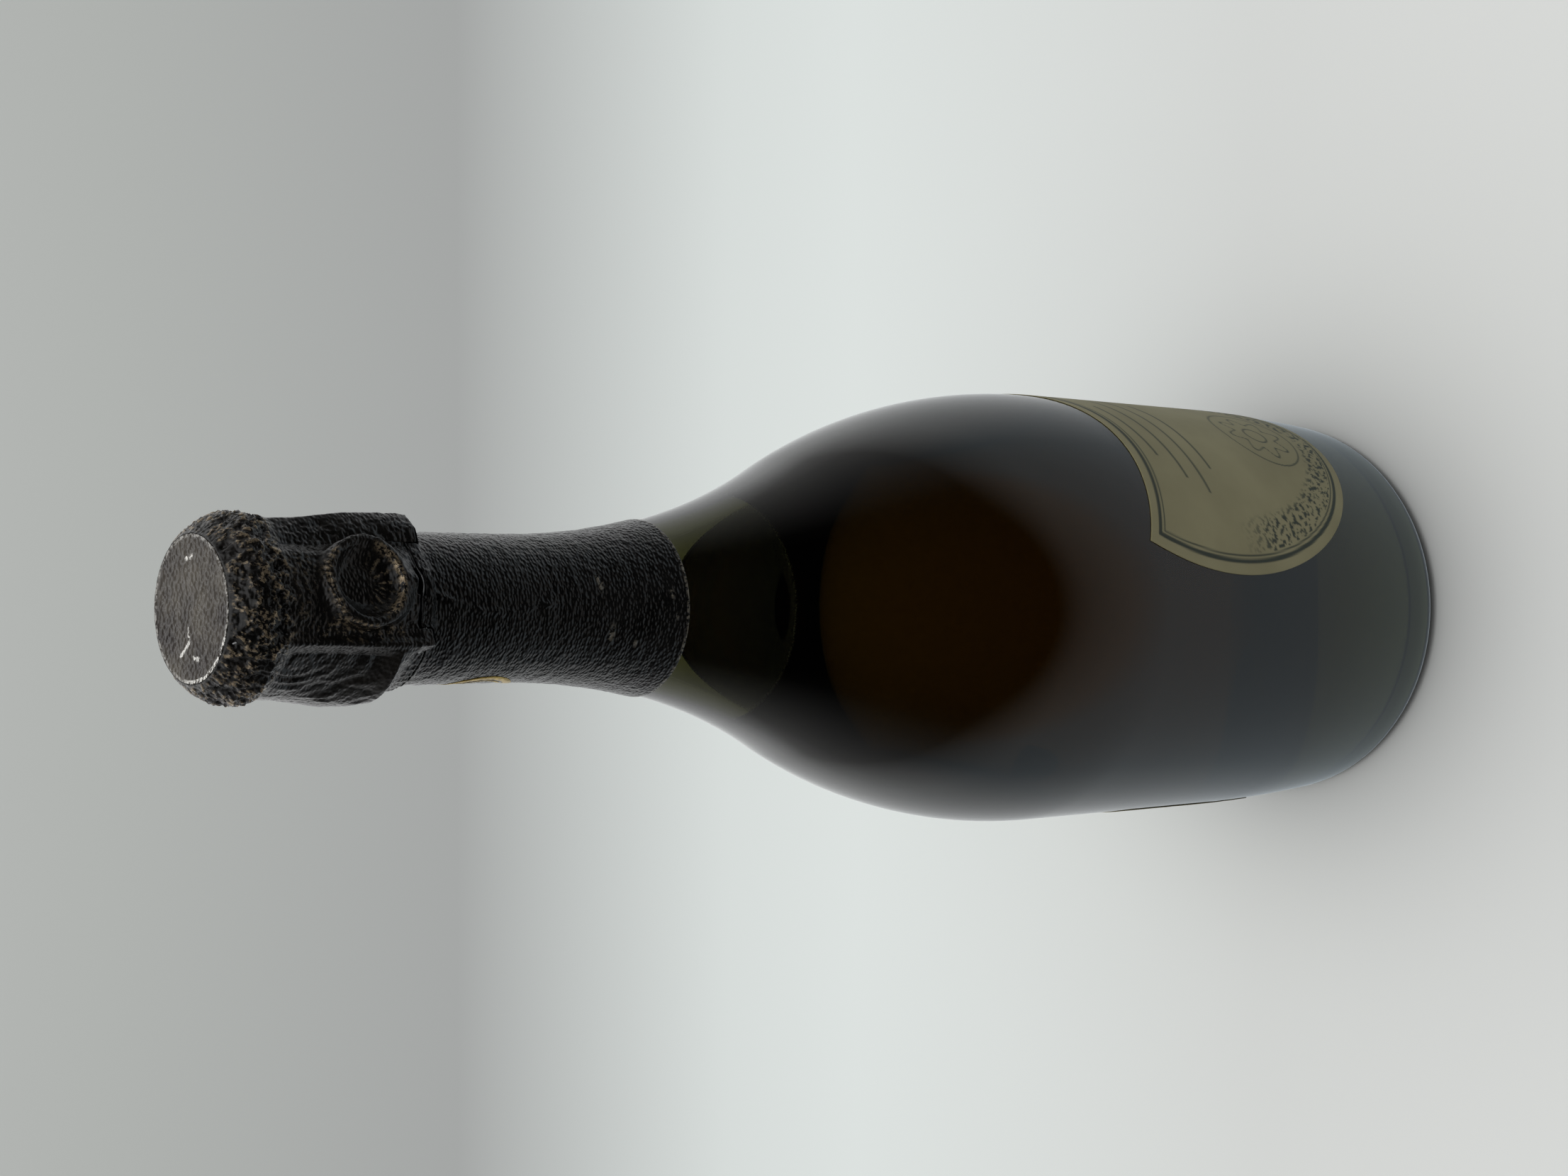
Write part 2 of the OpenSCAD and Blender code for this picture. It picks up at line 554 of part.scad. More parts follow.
module front_label() {
    top_z = label_z + label_h;
    half = label_w / 2;
    ear = label_ears / 2;
    side = bezier([ear, top_z], [ear + 17 * half / 40, top_z - 0.43 * label_h],
        [0.9 * half, label_z + 1], [0, label_z], 20);
    hollow = [for (i = [1 : 15]) let (s = 1 - i / 8) [s * -ear, top_z - label_hollow * (1 - s * s)]];
    outline = concat([for (i = [20 : -1 : 1]) [side[i][0], side[i][1]]], [side[0]],
        [for (i = [14 : -1 : 0]) hollow[i]], [for (i = [0 : 19]) [-side[i][0], side[i][1]]]);
    color(paper_colour) intersection() {
        skin(paper_gap, label_t, label_z - 1, top_z + 1);
        print_on(outline, body_r);
    }
}
module back_label() {
    x = back_w / 2 - back_corner;
    z0 = back_z + back_corner;
    z1 = back_z + back_h - back_corner;
    color(paper_colour) rotate([0, 0, 180]) intersection() {
        skin(paper_gap, label_t, back_z - 1, back_z + back_h + 1);
        print_on(concat(arc([x, z1], back_corner, 0, 90, 6), arc([-x, z1], back_corner, 90, 180, 6),
            arc([-x, z0], back_corner, 180, 270, 6), arc([x, z0], back_corner, 270, 360, 6)), body_r);
    }
}

function oval(w, h, n) = [for (i = [0 : n - 1]) let (a = 360 * i / n) [w / 2 * cos(a), emblem_z + h / 2 * sin(a)]];
module neck_emblem() {
    r = neck_r + foil_off;
    color(gold_colour) rotate([0, 0, emblem_turn]) intersection() {
        skin(foil_off + touch_gap, 0.1, emblem_z - emblem_h / 2 - 1, emblem_z + emblem_h / 2 + 1);
        difference() {
            print_on(oval(emblem_w, emblem_h, 40), r);
            print_on(oval(emblem_w - 2 * emblem_line, emblem_h - 2 * emblem_line, 40), r);
        }
    }
}

bottle_glass();
wine();
neck_sleeve();
neck_emblem();
front_label();
back_label();
cork_body();
cork_disc_upper();
cork_disc_lower();
plaque();
cage_crown();
cage_leg_1();
cage_leg_2();
cage_leg_3();
cage_leg_4();
belt_wire();
key_loop();
key_foil();
foil_hood();
foil_top_disc();
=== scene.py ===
import math

import bmesh
import bpy
from mathutils import Matrix, Vector, noise


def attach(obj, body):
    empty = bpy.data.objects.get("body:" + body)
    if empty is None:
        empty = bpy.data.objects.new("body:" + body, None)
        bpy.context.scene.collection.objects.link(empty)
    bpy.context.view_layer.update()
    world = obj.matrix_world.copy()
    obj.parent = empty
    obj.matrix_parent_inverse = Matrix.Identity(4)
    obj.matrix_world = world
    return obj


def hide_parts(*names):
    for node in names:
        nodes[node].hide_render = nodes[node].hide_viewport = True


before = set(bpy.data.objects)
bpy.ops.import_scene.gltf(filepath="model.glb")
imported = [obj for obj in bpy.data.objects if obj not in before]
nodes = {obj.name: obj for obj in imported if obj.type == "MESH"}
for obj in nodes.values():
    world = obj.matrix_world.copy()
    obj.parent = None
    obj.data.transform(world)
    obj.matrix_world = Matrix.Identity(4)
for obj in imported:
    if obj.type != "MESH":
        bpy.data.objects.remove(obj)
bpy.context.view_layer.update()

# Lengths below are in millimetres and azimuths in degrees from the middle of the front label,
# which faces -Y, towards +X, as in the part's source.
MM = 0.001
# The camera stands this far round from the front label.
CAMERA_TURN = -56.7

BODY_R, NECK_R, GLASS_H = 47.6, 13.2, 283.0
SHOULDER_Z, SHOULDER_R, NECK_Z = 104.0, 145.0, 243.0
BARREL_Z, BARREL_R, HEEL_R = 45.0, 500.0, 5.0
WALL, NECK_BORE_R, PUNT_DEPTH, PUNT_WALL = 5.4, 9.5, 32.0, 9.0
BORE_R, BORE_LOW_Z = 9.0, 256.0
RING_R, RING_LOW_Z, RING_TOP_Z = 14.0, 269.2, 274.6
LIP_R, GROOVE_R, LIP_LOW_Z = 14.0, 13.3, 278.4
FILL_Z = 185.0
CORK_TOP_Z, HEAD_R = 303.3, 13.3
LEG_TURN, KEY_TURN = 12.0, -39.0
BELT_Z, BELT_R, FOOT_R, FOOT_EYE_R = 268.1, 13.75, 15.55, 0.9
KEY_R, KEY_HINGE_Z, KEY_STEM, KEY_EYE_R = 15.23, 269.78, 3.2, 6.8
KEY_EYE_Z = KEY_HINGE_Z + KEY_STEM + math.sqrt(KEY_EYE_R ** 2 - 0.48 ** 2)
SLEEVE_LOW_Z, COLLAR_LOW_Z, TEAR_Z = 210.5, 262.5, 267.0
FOIL_T = 0.25
TOP_Z = 305.0


def sin_deg(angle):
    return math.sin(math.radians(angle))


def cos_deg(angle):
    return math.cos(math.radians(angle))


def polar(turn, r, z):
    return Vector((r * sin_deg(turn), -r * cos_deg(turn), z)) * MM


def turn_from(a, b):
    return (a - b + 180) % 360 - 180


def smooth(t):
    t = min(1.0, max(0.0, t))
    return t * t * (3 - 2 * t)


def lookup(x, table):
    for (x0, y0), (x1, y1) in zip(table, table[1:]):
        if x <= x1:
            return y0 + (y1 - y0) * max(0.0, x - x0) / (x1 - x0)
    return table[-1][1]


def arc(centre, r, a0, a1, steps):
    turns = [a0 + (a1 - a0) * i / steps for i in range(steps + 1)]
    return [(centre[0] + r * cos_deg(a), centre[1] + r * sin_deg(a)) for a in turns]


def bezier(a, b, c, d, steps):
    points = []
    for i in range(steps + 1):
        t = i / steps
        weights = ((1 - t) ** 3, 3 * (1 - t) ** 2 * t, 3 * (1 - t) * t * t, t ** 3)
        points.append(tuple(sum(w * p[k] for w, p in zip(weights, (a, b, c, d))) for k in (0, 1)))
    return points


# ---------------------------------------------------------------- materials

def hex_colour(text):
    channels = [int(text[i:i + 2], 16) / 255 for i in (1, 3, 5)]
    return [c / 12.92 if c <= 0.04045 else ((c + 0.055) / 1.055) ** 2.4 for c in channels] + [1.0]


def add(tree, kind, settings=None, links=None):
    """Adds a node. Its settings are properties, inputs or a ramp's stops, and colours are sRGB hex or a grey."""
    node = tree.nodes.new("ShaderNode" + kind)
    for name, value in (settings or {}).items():
        if name == "stops":
            elements = node.color_ramp.elements
            while len(elements) < len(value):
                elements.new(0.5)
            for element, (place, tone) in zip(elements, value):
                element.position = place
                element.color = hex_colour(tone) if isinstance(tone, str) else (tone, tone, tone, 1)
        elif isinstance(name, str) and hasattr(node, name):
            setattr(node, name, value)
        else:
            node.inputs[name].default_value = hex_colour(value) if isinstance(value, str) else value
    for socket, source in (links or {}).items():
        tree.links.new(source, node.inputs[socket])
    return node


def start_material(name):
    made = bpy.data.materials.new(name)
    made.use_nodes = True
    tree = made.node_tree
    tree.nodes.clear()
    return made, tree, add(tree, "TexCoord").outputs["Object"]


# Champagne bottle glass: thick soda-lime glass, dark olive green, blown in a mould and fire polished,
# so its outside is a clean mirror and only thin places let green light through.
def bottle_glass_finish():
    made, tree, place = start_material("green_bottle_glass")
    # The mould leaves waves some 30 mm wide and a few hundredths of a millimetre deep.
    waves = add(tree, "TexNoise", {"Scale": 33.0, "Detail": 0.0}, {"Vector": place})
    relief = add(tree, "Bump", {"Strength": 0.3, "Distance": 0.0004}, {"Height": waves.outputs["Fac"]})
    shader = add(tree, "BsdfPrincipled",
                 {"Base Color": "#ffffff", "Roughness": 0.0, "IOR": 1.52, "Transmission Weight": 1.0},
                 {"Normal": relief.outputs["Normal"]})
    absorb = add(tree, "VolumeAbsorption", {"Color": "#95964b", "Density": 425.0})
    add(tree, "OutputMaterial", links={"Surface": shader.outputs["BSDF"], "Volume": absorb.outputs["Volume"]})
    return made


# White wine: clear, pale gold, a little darker over the full width of the bottle.
def wine_finish():
    made, tree, place = start_material("sparkling_wine")
    shader = add(tree, "BsdfPrincipled",
                 {"Base Color": "#ffffff", "Roughness": 0.0, "IOR": 1.34, "Transmission Weight": 1.0})
    absorb = add(tree, "VolumeAbsorption", {"Color": "#e8c060", "Density": 32.0})
    add(tree, "OutputMaterial", links={"Surface": shader.outputs["BSDF"], "Volume": absorb.outputs["Volume"]})
    return made


# Carbon dioxide bubbles that hold to the glass where the wine ends.
def bubble_finish():
    made, tree, place = start_material("bubble_skin")
    shader = add(tree, "BsdfPrincipled", {"Base Color": "#dfe6d8", "Roughness": 0.1, "IOR": 1.33})
    add(tree, "OutputMaterial", links={"Surface": shader.outputs["BSDF"]})
    return made


# Capsule foil: soft aluminium under black lacquer, embossed like leather and crumpled by hand,
# so it glints in small grains. Where the lacquer is scraped through, metal shows, as on the sleeve's cut edge and
# scuffs and in the disc's scratches;
# the bronze metal on the hood's creases, beads and dent, and the pale metal along the disc's left rim, are painted
# highlights, partly scraped lacquer too.
def foil_finish(name, colour, faded, worn_and_glinting, grain, roughness, shine, relief):
    made, tree, place = start_material(name)
    # The grain is pressed in rows, so its cells are lower than they are wide.
    rows = add(tree, "Mapping", {"Scale": (1.0, 1.0, 1.5)}, {"Vector": place})
    cells = add(tree, "TexVoronoi", {"feature": "SMOOTH_F1", "Scale": 1000 / grain, "Smoothness": 0.7,
                                     "Randomness": 0.8}, {"Vector": rows.outputs["Vector"]})
    pleats = add(tree, "TexNoise", {"Scale": 330.0, "Detail": 1.0}, {"Vector": place})
    rub = add(tree, "TexNoise", {"Scale": 1300.0, "Detail": 3.0, "Roughness": 0.65}, {"Vector": place})
    flecks = add(tree, "ValToRGB", {"stops": [(0.46, 0.0), (0.58, 1.0)]}, {"Fac": rub.outputs["Fac"]})
    wear = add(tree, "Attribute", {"attribute_name": "wear"})
    # Mask of the metal paint: scraped lacquer, and painted glints on the hood and disc rim
    rubbed_and_glint_mask = add(tree, "Math", {"operation": "MULTIPLY"}, {0: wear.outputs["Fac"], 1: flecks.outputs["Color"]})
    cloud = add(tree, "TexNoise", {"Scale": 130.0, "Detail": 3.0, "Roughness": 0.6}, {"Vector": place})
    lacquer = add(tree, "ValToRGB", {"stops": [(0.35, colour), (0.7, faded)]}, {"Fac": cloud.outputs["Fac"]})
    paint = add(tree, "Mix", {"data_type": "RGBA", 7: worn_and_glinting}, {0: rubbed_and_glint_mask.outputs[0], 6: lacquer.outputs["Color"]})
    low = add(tree, "Bump", {"Strength": 0.5, "Distance": 0.0003}, {"Height": pleats.outputs["Fac"]})
    fine = add(tree, "Bump", {"Strength": 1.0, "Distance": relief * 0.001},
               {"Height": cells.outputs["Distance"], "Normal": low.outputs["Normal"]})
    shader = add(tree, "BsdfPrincipled", {"Roughness": roughness, "IOR": 1.5, "Specular IOR Level": shine},
                 {"Base Color": paint.outputs[2], "Metallic": rubbed_and_glint_mask.outputs[0], "Normal": fine.outputs["Normal"]})
    add(tree, "OutputMaterial", links={"Surface": shader.outputs["BSDF"]})
    return made


# Kraft-tinted label paper: uncoated, pale khaki, with a print of fine dark green lines.
def label_finish():
    made, tree, place = start_material("khaki_label_paper")
    fibre = add(tree, "TexNoise", {"Scale": 2600.0, "Detail": 3.0}, {"Vector": place})
    cloud = add(tree, "TexNoise", {"Scale": 60.0, "Detail": 3.0}, {"Vector": place})
    tone = add(tree, "ValToRGB", {"stops": [(0.3, "#857f5f"), (0.7, "#928c6b")]}, {"Fac": cloud.outputs["Fac"]})
    ink = add(tree, "Attribute", {"attribute_name": "ink"})
    paint = add(tree, "Mix", {"data_type": "RGBA", 7: "#353b31"},
                {0: ink.outputs["Fac"], 6: tone.outputs["Color"]})
    relief = add(tree, "Bump", {"Strength": 0.5, "Distance": 0.00003}, {"Height": fibre.outputs["Fac"]})
    shader = add(tree, "BsdfPrincipled", {"Roughness": 0.62, "Specular IOR Level": 0.35},
                 {"Base Color": paint.outputs[2], "Normal": relief.outputs["Normal"]})
    add(tree, "OutputMaterial", links={"Surface": shader.outputs["BSDF"]})
    return made


# Gold ink printed on the foil.
def gold_finish():
    made, tree, place = start_material("gold_print")
    rub = add(tree, "TexNoise", {"Scale": 1500.0, "Detail": 3.0}, {"Vector": place})
    tone = add(tree, "ValToRGB", {"stops": [(0.35, "#8d7434"), (0.65, "#c9b066")]}, {"Fac": rub.outputs["Fac"]})
    shader = add(tree, "BsdfPrincipled", {"Metallic": 0.85, "Roughness": 0.4}, {"Base Color": tone.outputs["Color"]})
    add(tree, "OutputMaterial", links={"Surface": shader.outputs["BSDF"]})
    return made


# Tinned iron wire, drawn and then twisted: bright grey with fine lengthwise scuffs.
def wire_finish():
    made, tree, place = start_material("tinned_wire")
    rub = add(tree, "TexNoise", {"Scale": 1400.0, "Detail": 4.0}, {"Vector": place})
    tone = add(tree, "ValToRGB", {"stops": [(0.3, "#8d8f90"), (0.7, "#b9bbbc")]}, {"Fac": rub.outputs["Fac"]})
    relief = add(tree, "Bump", {"Strength": 0.4, "Distance": 0.00004}, {"Height": rub.outputs["Fac"]})
    shader = add(tree, "BsdfPrincipled", {"Metallic": 1.0, "Roughness": 0.32},
                 {"Base Color": tone.outputs["Color"], "Normal": relief.outputs["Normal"]})
    add(tree, "OutputMaterial", links={"Surface": shader.outputs["BSDF"]})
    return made


# Tinplate cap, lacquered dark and stamped.
def plaque_finish():
    made, tree, place = start_material("lacquered_tinplate")
    rub = add(tree, "TexNoise", {"Scale": 500.0, "Detail": 5.0}, {"Vector": place})
    tone = add(tree, "ValToRGB", {"stops": [(0.35, "#2b2927"), (0.75, "#4a4641")]}, {"Fac": rub.outputs["Fac"]})
    shader = add(tree, "BsdfPrincipled", {"Metallic": 0.7, "Roughness": 0.38}, {"Base Color": tone.outputs["Color"]})
    add(tree, "OutputMaterial", links={"Surface": shader.outputs["BSDF"]})
    return made


# Cork: pressed grains of 2 to 4 mm in the body, whole bark with dark pores in the discs.
def cork_finish(name, grain, light, dark):
    made, tree, place = start_material(name)
    grains = add(tree, "TexVoronoi", {"Scale": 1000 / grain}, {"Vector": place})
    shade = add(tree, "ValToRGB", {"stops": [(0.0, 0.55), (1.0, 1.0)]}, {"Fac": grains.outputs["Color"]})
    seams = add(tree, "TexVoronoi", {"feature": "DISTANCE_TO_EDGE", "Scale": 1000 / grain}, {"Vector": place})
    joints = add(tree, "ValToRGB", {"stops": [(0.0, 0.0), (0.12, 1.0)]}, {"Fac": seams.outputs["Distance"]})
    pores = add(tree, "TexNoise", {"Scale": 700.0, "Detail": 5.0, "Roughness": 0.7}, {"Vector": place})
    pits = add(tree, "ValToRGB", {"stops": [(0.4, 0.0), (0.75, 1.0)]}, {"Fac": pores.outputs["Fac"]})
    tone = add(tree, "Mix", {"data_type": "RGBA", 6: light, 7: dark}, {0: pits.outputs["Color"]})
    paint = add(tree, "Mix", {"data_type": "RGBA", "blend_type": "MULTIPLY", 0: 0.35},
                {6: tone.outputs[2], 7: shade.outputs["Color"]})
    low = add(tree, "Bump", {"Strength": 0.6, "Distance": 0.0002}, {"Height": joints.outputs["Color"]})
    fine = add(tree, "Bump", {"Strength": 0.6, "Distance": 0.0003},
               {"Height": pores.outputs["Fac"], "Normal": low.outputs["Normal"]})
    shader = add(tree, "BsdfPrincipled", {"Roughness": 0.85, "Specular IOR Level": 0.2},
                 {"Base Color": paint.outputs[2], "Normal": fine.outputs["Normal"]})
    add(tree, "OutputMaterial", links={"Surface": shader.outputs["BSDF"]})
    return made


glass = bottle_glass_finish()
wine_look = wine_finish()
bubble = bubble_finish()
black_foil = foil_finish("black_lacquered_foil", "#080808", "#161412", "#a6957c", 0.95, 0.25, 0.42, 0.17)
disc_foil = foil_finish("brown_lacquered_foil", "#140c07", "#3e3931", "#e8e6e0", 0.9, 0.25, 0.28, 0.62)
sleeve_foil = foil_finish("leather_grained_foil", "#060606", "#0f0f0f", "#9c9588", 0.9, 0.25, 0.34, 0.28)
paper = label_finish()
gold = gold_finish()
tinned_wire = wire_finish()
tinplate = plaque_finish()
pressed_cork = cork_finish("pressed_cork", 2.6, "#c9a272", "#8a5f38")
bark_cork = cork_finish("bark_cork", 6.0, "#c79c68", "#6f4526")


# ---------------------------------------------------------------- shapes

def finish_piece(name, mesh_or_bm, look, body, replaced=(), sharp=40):
    if isinstance(mesh_or_bm, bmesh.types.BMesh):
        mesh = bpy.data.meshes.new(name)
        mesh_or_bm.to_mesh(mesh)
        mesh_or_bm.free()
    else:
        mesh = mesh_or_bm
    mesh.materials.append(look)
    mesh.shade_smooth()
    if sharp:
        mesh.set_sharp_from_angle(angle=math.radians(sharp))
    piece = bpy.data.objects.new(name, mesh)
    bpy.context.scene.collection.objects.link(piece)
    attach(piece, body)
    if replaced:
        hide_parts(*replaced)
    return piece


def revolve(profile, steps, closed=False):
    bm = bmesh.new()
    verts = [bm.verts.new((r * MM, 0, z * MM)) for r, z in profile]
    pairs = list(zip(verts, verts[1:])) + ([(verts[-1], verts[0])] if closed else [])
    edges = [bm.edges.new(pair) for pair in pairs]
    bmesh.ops.spin(bm, geom=verts + edges, cent=(0, 0, 0), axis=(0, 0, 1), angle=2 * math.pi,
                   steps=steps, use_merge=True)
    bmesh.ops.remove_doubles(bm, verts=bm.verts, dist=1e-6)
    bmesh.ops.recalc_face_normals(bm, faces=bm.faces)
    return bm


def hollow_r(r0, r1, rc):
    fall, rise = r0 - r1, NECK_Z - SHOULDER_Z
    return (rise * rise + fall * fall) / (2 * fall) - rc


def shoulder_line(r0, r1, rc, steps):
    rv = hollow_r(r0, r1, rc)
    a = math.degrees(math.asin((NECK_Z - SHOULDER_Z) / (rc + rv)))
    return arc((r0 - rc, SHOULDER_Z), rc, 0, a, steps) + arc((r1 + rv, NECK_Z), rv, 180 + a, 180, steps)[1:]


def glass_r(z):
    if z < BARREL_Z:
        return BODY_R - BARREL_R + math.sqrt(BARREL_R ** 2 - (BARREL_Z - z) ** 2)
    if z < SHOULDER_Z:
        return BODY_R
    return lookup(z, GLASS_TABLE)


GLASS_TABLE = [(z, r) for r, z in shoulder_line(BODY_R, NECK_R, SHOULDER_R, 60)] + [(RING_LOW_Z, NECK_R)]
BEARING_R = BODY_R - BARREL_R + math.sqrt((BARREL_R - HEEL_R) ** 2 - (BARREL_Z - HEEL_R) ** 2)
HEEL_TURN = math.degrees(math.asin((BARREL_Z - HEEL_R) / (BARREL_R - HEEL_R)))
PUNT_RIM_R = BEARING_R - 5.0
INNER_R = BODY_R - WALL

inside_wall = (arc((INNER_R - 7.5, 12), 5.5, 300, 360, 10)
               + [(INNER_R - 0.6, BARREL_Z / 2 + 4), (INNER_R, BARREL_Z)]
               + shoulder_line(INNER_R, NECK_BORE_R, SHOULDER_R - WALL, 40))
trough = inside_wall[0]
inside_dome = bezier((0, PUNT_DEPTH + PUNT_WALL), (18, PUNT_DEPTH + PUNT_WALL),
                     (trough[0] - 3.5, 0.78 * PUNT_DEPTH), trough, 20)


def build_glass():
    punt = bezier((PUNT_RIM_R, 4), (PUNT_RIM_R - 4.5, 0.6 * PUNT_DEPTH), (14, PUNT_DEPTH), (0, PUNT_DEPTH), 20)
    outside = (arc((PUNT_RIM_R + 3.4, 3.4), 3.4, 180, 270, 8)
               + arc((BEARING_R, HEEL_R), HEEL_R, 270, 360 - HEEL_TURN, 10)
               + [(glass_r(z), z) for z in range(10, 45, 5)]
               + shoulder_line(BODY_R, NECK_R, SHOULDER_R, 48)
               + [(NECK_R, RING_LOW_Z), (RING_R, RING_LOW_Z + 0.8), (RING_R, RING_TOP_Z - 1.2),
                  (GROOVE_R, RING_TOP_Z), (GROOVE_R, LIP_LOW_Z - 0.2), (LIP_R, LIP_LOW_Z + 0.6)]
               + arc((LIP_R - 1.2, GLASS_H - 1.2), 1.2, 0, 90, 6))
    inside = (arc((BORE_R + 0.8, GLASS_H - 0.8), 0.8, 90, 180, 6)
              + [(BORE_R, BORE_LOW_Z), (NECK_BORE_R, BORE_LOW_Z - 1.5)]
              + inside_wall[::-1] + inside_dome[::-1][1:])
    finish_piece("glass", revolve(punt[::-1] + outside + inside, 160), glass, "bottle",
                 ["bottle_glass"], 35)


def build_wine():
    # It reaches a hair into the glass, so that light passes from one to the other without air between.
    gap = -0.03
    walls = [(r - gap, z + gap) for r, z in inside_wall[1:] if z < FILL_Z - 2.5]
    table = [(z, r) for r, z in inside_wall if z > 100]
    edge = lookup(FILL_Z, table) - gap
    # The wine creeps 1 mm up the glass and leaves a hollow surface.
    creep = [(lookup(FILL_Z + 0.9, table) - gap, FILL_Z + 0.9), (edge - 0.5, FILL_Z + 0.25),
             (edge - 1.6, FILL_Z + 0.03), (edge - 4, FILL_Z), (0, FILL_Z)]
    profile = ([(r, z + 2 * gap) for r, z in inside_dome[:-1]] + [(trough[0] + gap, trough[1] + 3 * gap)]
               + walls + creep)
    finish_piece("wine_fill", revolve(profile, 128), wine_look, "bottle", ["wine"], 60)


def build_bubbles():
    """A froth of small bubbles clings to the glass where the wine ends."""
    bm = bmesh.new()
    table = [(z, r) for r, z in inside_wall if z > 100]
    count = 260
    for i in range(count):
        turn = 360 * i / count + 0.5 * noise.noise(Vector((i, 0.5, 0.5)))
        size = 0.16 + 0.12 * abs(noise.noise(Vector((0.5, i * 0.7, 0.5))))
        z = FILL_Z + 0.75 + 0.35 * noise.noise(Vector((0.5, 0.5, i * 0.9)))
        place = polar(turn, lookup(z, table) - size, z)
        bmesh.ops.create_icosphere(bm, subdivisions=1, radius=size * MM, matrix=Matrix.Translation(place))
    finish_piece("bubble_ring", bm, bubble, "bottle", sharp=0)


# ---------------------------------------------------------------- foil

# Outer radius of the foil over cage and cork: one row per azimuth from the camera, one column per height.
FOIL_LEVELS = (267, 269, 271, 273, 276, 280, 285, 290, 294, 297, 299.5, 301.5, 303.5, 304.9)
OVER_LEG = (17.2, 17.35, 17.4, 17.35, 17.25, 17.05, 16.5, 16.2, 16.2, 16.4, 16.3, 15.5, 14.0, 12.75)
BESIDE_LEG = (15.4, 15.7, 16.0, 16.1, 16.1, 16.0, 15.6, 15.4, 15.5, 16.1, 16.2, 15.4, 14.0, 12.75)
BETWEEN_LEGS = (14.8, 14.9, 15.0, 15.2, 15.3, 15.3, 15.1, 15.0, 15.3, 16.1, 16.2, 15.4, 14.0, 12.75)
FOIL_SECTIONS = (
    (-111.3, OVER_LEG),
    (-106, (16.0, 16.3, 16.7, 17.0, 17.2, 17.1, 16.5, 15.9, 15.8, 16.3, 16.3, 15.4, 14.0, 12.75)),
    (-93, (14.8, 14.9, 15.4, 16.4, 17.2, 17.2, 16.4, 15.7, 15.6, 16.3, 16.2, 15.3, 14.0, 12.75)),
    (-75, (14.5, 14.5, 15.0, 17.1, 17.1, 16.6, 15.7, 15.2, 15.3, 16.5, 16.0, 15.0, 13.9, 12.75)),
    (-60, (14.5, 14.5, 15.0, 17.3, 16.3, 15.2, 14.7, 14.5, 14.7, 16.5, 15.8, 14.9, 13.9, 12.75)),
    (-45, (14.5, 14.5, 15.3, 17.3, 15.9, 14.9, 14.5, 14.3, 14.6, 16.4, 15.8, 14.9, 13.9, 12.75)),
    (-31, (14.6, 14.8, 16.4, 17.1, 15.7, 15.0, 14.7, 14.5, 14.7, 16.4, 15.8, 15.0, 13.9, 12.75)),
    (-24.5, (16.3, 16.8, 17.1, 17.1, 16.8, 16.5, 15.9, 15.7, 15.8, 16.3, 16.0, 15.2, 13.9, 12.75)),
    (-22, OVER_LEG),
    (-20.5, OVER_LEG),
    (-17.5, (16.3, 16.5, 16.0, 15.7, 15.7, 15.7, 15.5, 15.3, 15.4, 15.9, 16.2, 15.6, 14.1, 12.75)),
    (-10, (14.6, 14.7, 15.2, 15.4, 15.4, 15.3, 15.0, 15.1, 15.3, 15.8, 16.4, 15.9, 14.2, 12.75)),
    (18, (15.65, 15.7, 15.6, 15.5, 15.5, 15.5, 15.2, 15.3, 15.5, 15.9, 16.5, 16.0, 14.2, 12.75)),
    (38, (14.8, 15.0, 15.4, 15.6, 15.6, 15.6, 15.4, 15.4, 15.4, 15.9, 16.5, 15.9, 14.2, 12.75)),
    (47, (15.0, 15.0, 15.2, 15.2, 15.1, 14.9, 14.6, 14.5, 14.8, 15.7, 16.4, 15.8, 14.1, 12.75)),
    (57, (17.0, 17.1, 17.1, 16.9, 16.6, 16.4, 15.6, 15.4, 15.5, 16.1, 16.4, 15.7, 14.1, 12.75)),
    (68.7, (17.6, 17.9, 18.0, 18.0, 17.9, 17.8, 17.2, 16.6, 16.5, 16.8, 16.5, 15.5, 14.0, 12.75)),
    (75, (16.6, 16.8, 17.0, 17.0, 16.9, 16.7, 16.2, 15.8, 15.8, 16.5, 16.3, 15.4, 14.0, 12.75)),
    (113.7, BETWEEN_LEGS),
    (152.4, BESIDE_LEG),
    (158.7, OVER_LEG),
    (165, BESIDE_LEG),
    (203.7, BETWEEN_LEGS),
    (242.4, BESIDE_LEG),
    (248.7, OVER_LEG),
)
# The twisted wire of the key shows through the foil as a row of beads, in mm right of and above its eye.
BEAD_ROWS = (((-8.0, 5.9), (-5.6, 6.2), (-3.4, 7.0), (-1.2, 7.7), (1.2, 8.1), (3.4, 7.3), (5.0, 5.8)),
             ((-7.2, 4.6), (-7.9, 2.0), (-8.3, 0.2), (-9.2, 0.6)))
BEAD = 1.15


def section_radius(view, z):
    if view < FOIL_SECTIONS[0][0]:
        view += 360
    for (v0, low), (v1, high) in zip(FOIL_SECTIONS, FOIL_SECTIONS[1:]):
        if view <= v1:
            t = (view - v0) / (v1 - v0)
            for i in range(len(FOIL_LEVELS) - 1):
                if z <= FOIL_LEVELS[i + 1]:
                    s = max(0.0, (z - FOIL_LEVELS[i]) / (FOIL_LEVELS[i + 1] - FOIL_LEVELS[i]))
                    return ((low[i] * (1 - s) + low[i + 1] * s) * (1 - t)
                            + (high[i] * (1 - s) + high[i + 1] * s) * t)
            return low[-1]
    return BETWEEN_LEGS[0]


def trace(x, y, line):
    """Distance from a point to a line of short pieces, and how far along it the nearest place is."""
    best, at, walked = 1e9, 0.0, 0.0
    for (x0, y0), (x1, y1) in zip(line, line[1:]):
        dx, dy = x1 - x0, y1 - y0
        length = math.hypot(dx, dy)
        t = min(1.0, max(0.0, ((x - x0) * dx + (y - y0) * dy) / length ** 2))
        gap = math.hypot(x - x0 - t * dx, y - y0 - t * dy)
        if gap < best:
            best, at = gap, walked + t * length
        walked += length
    return best, at


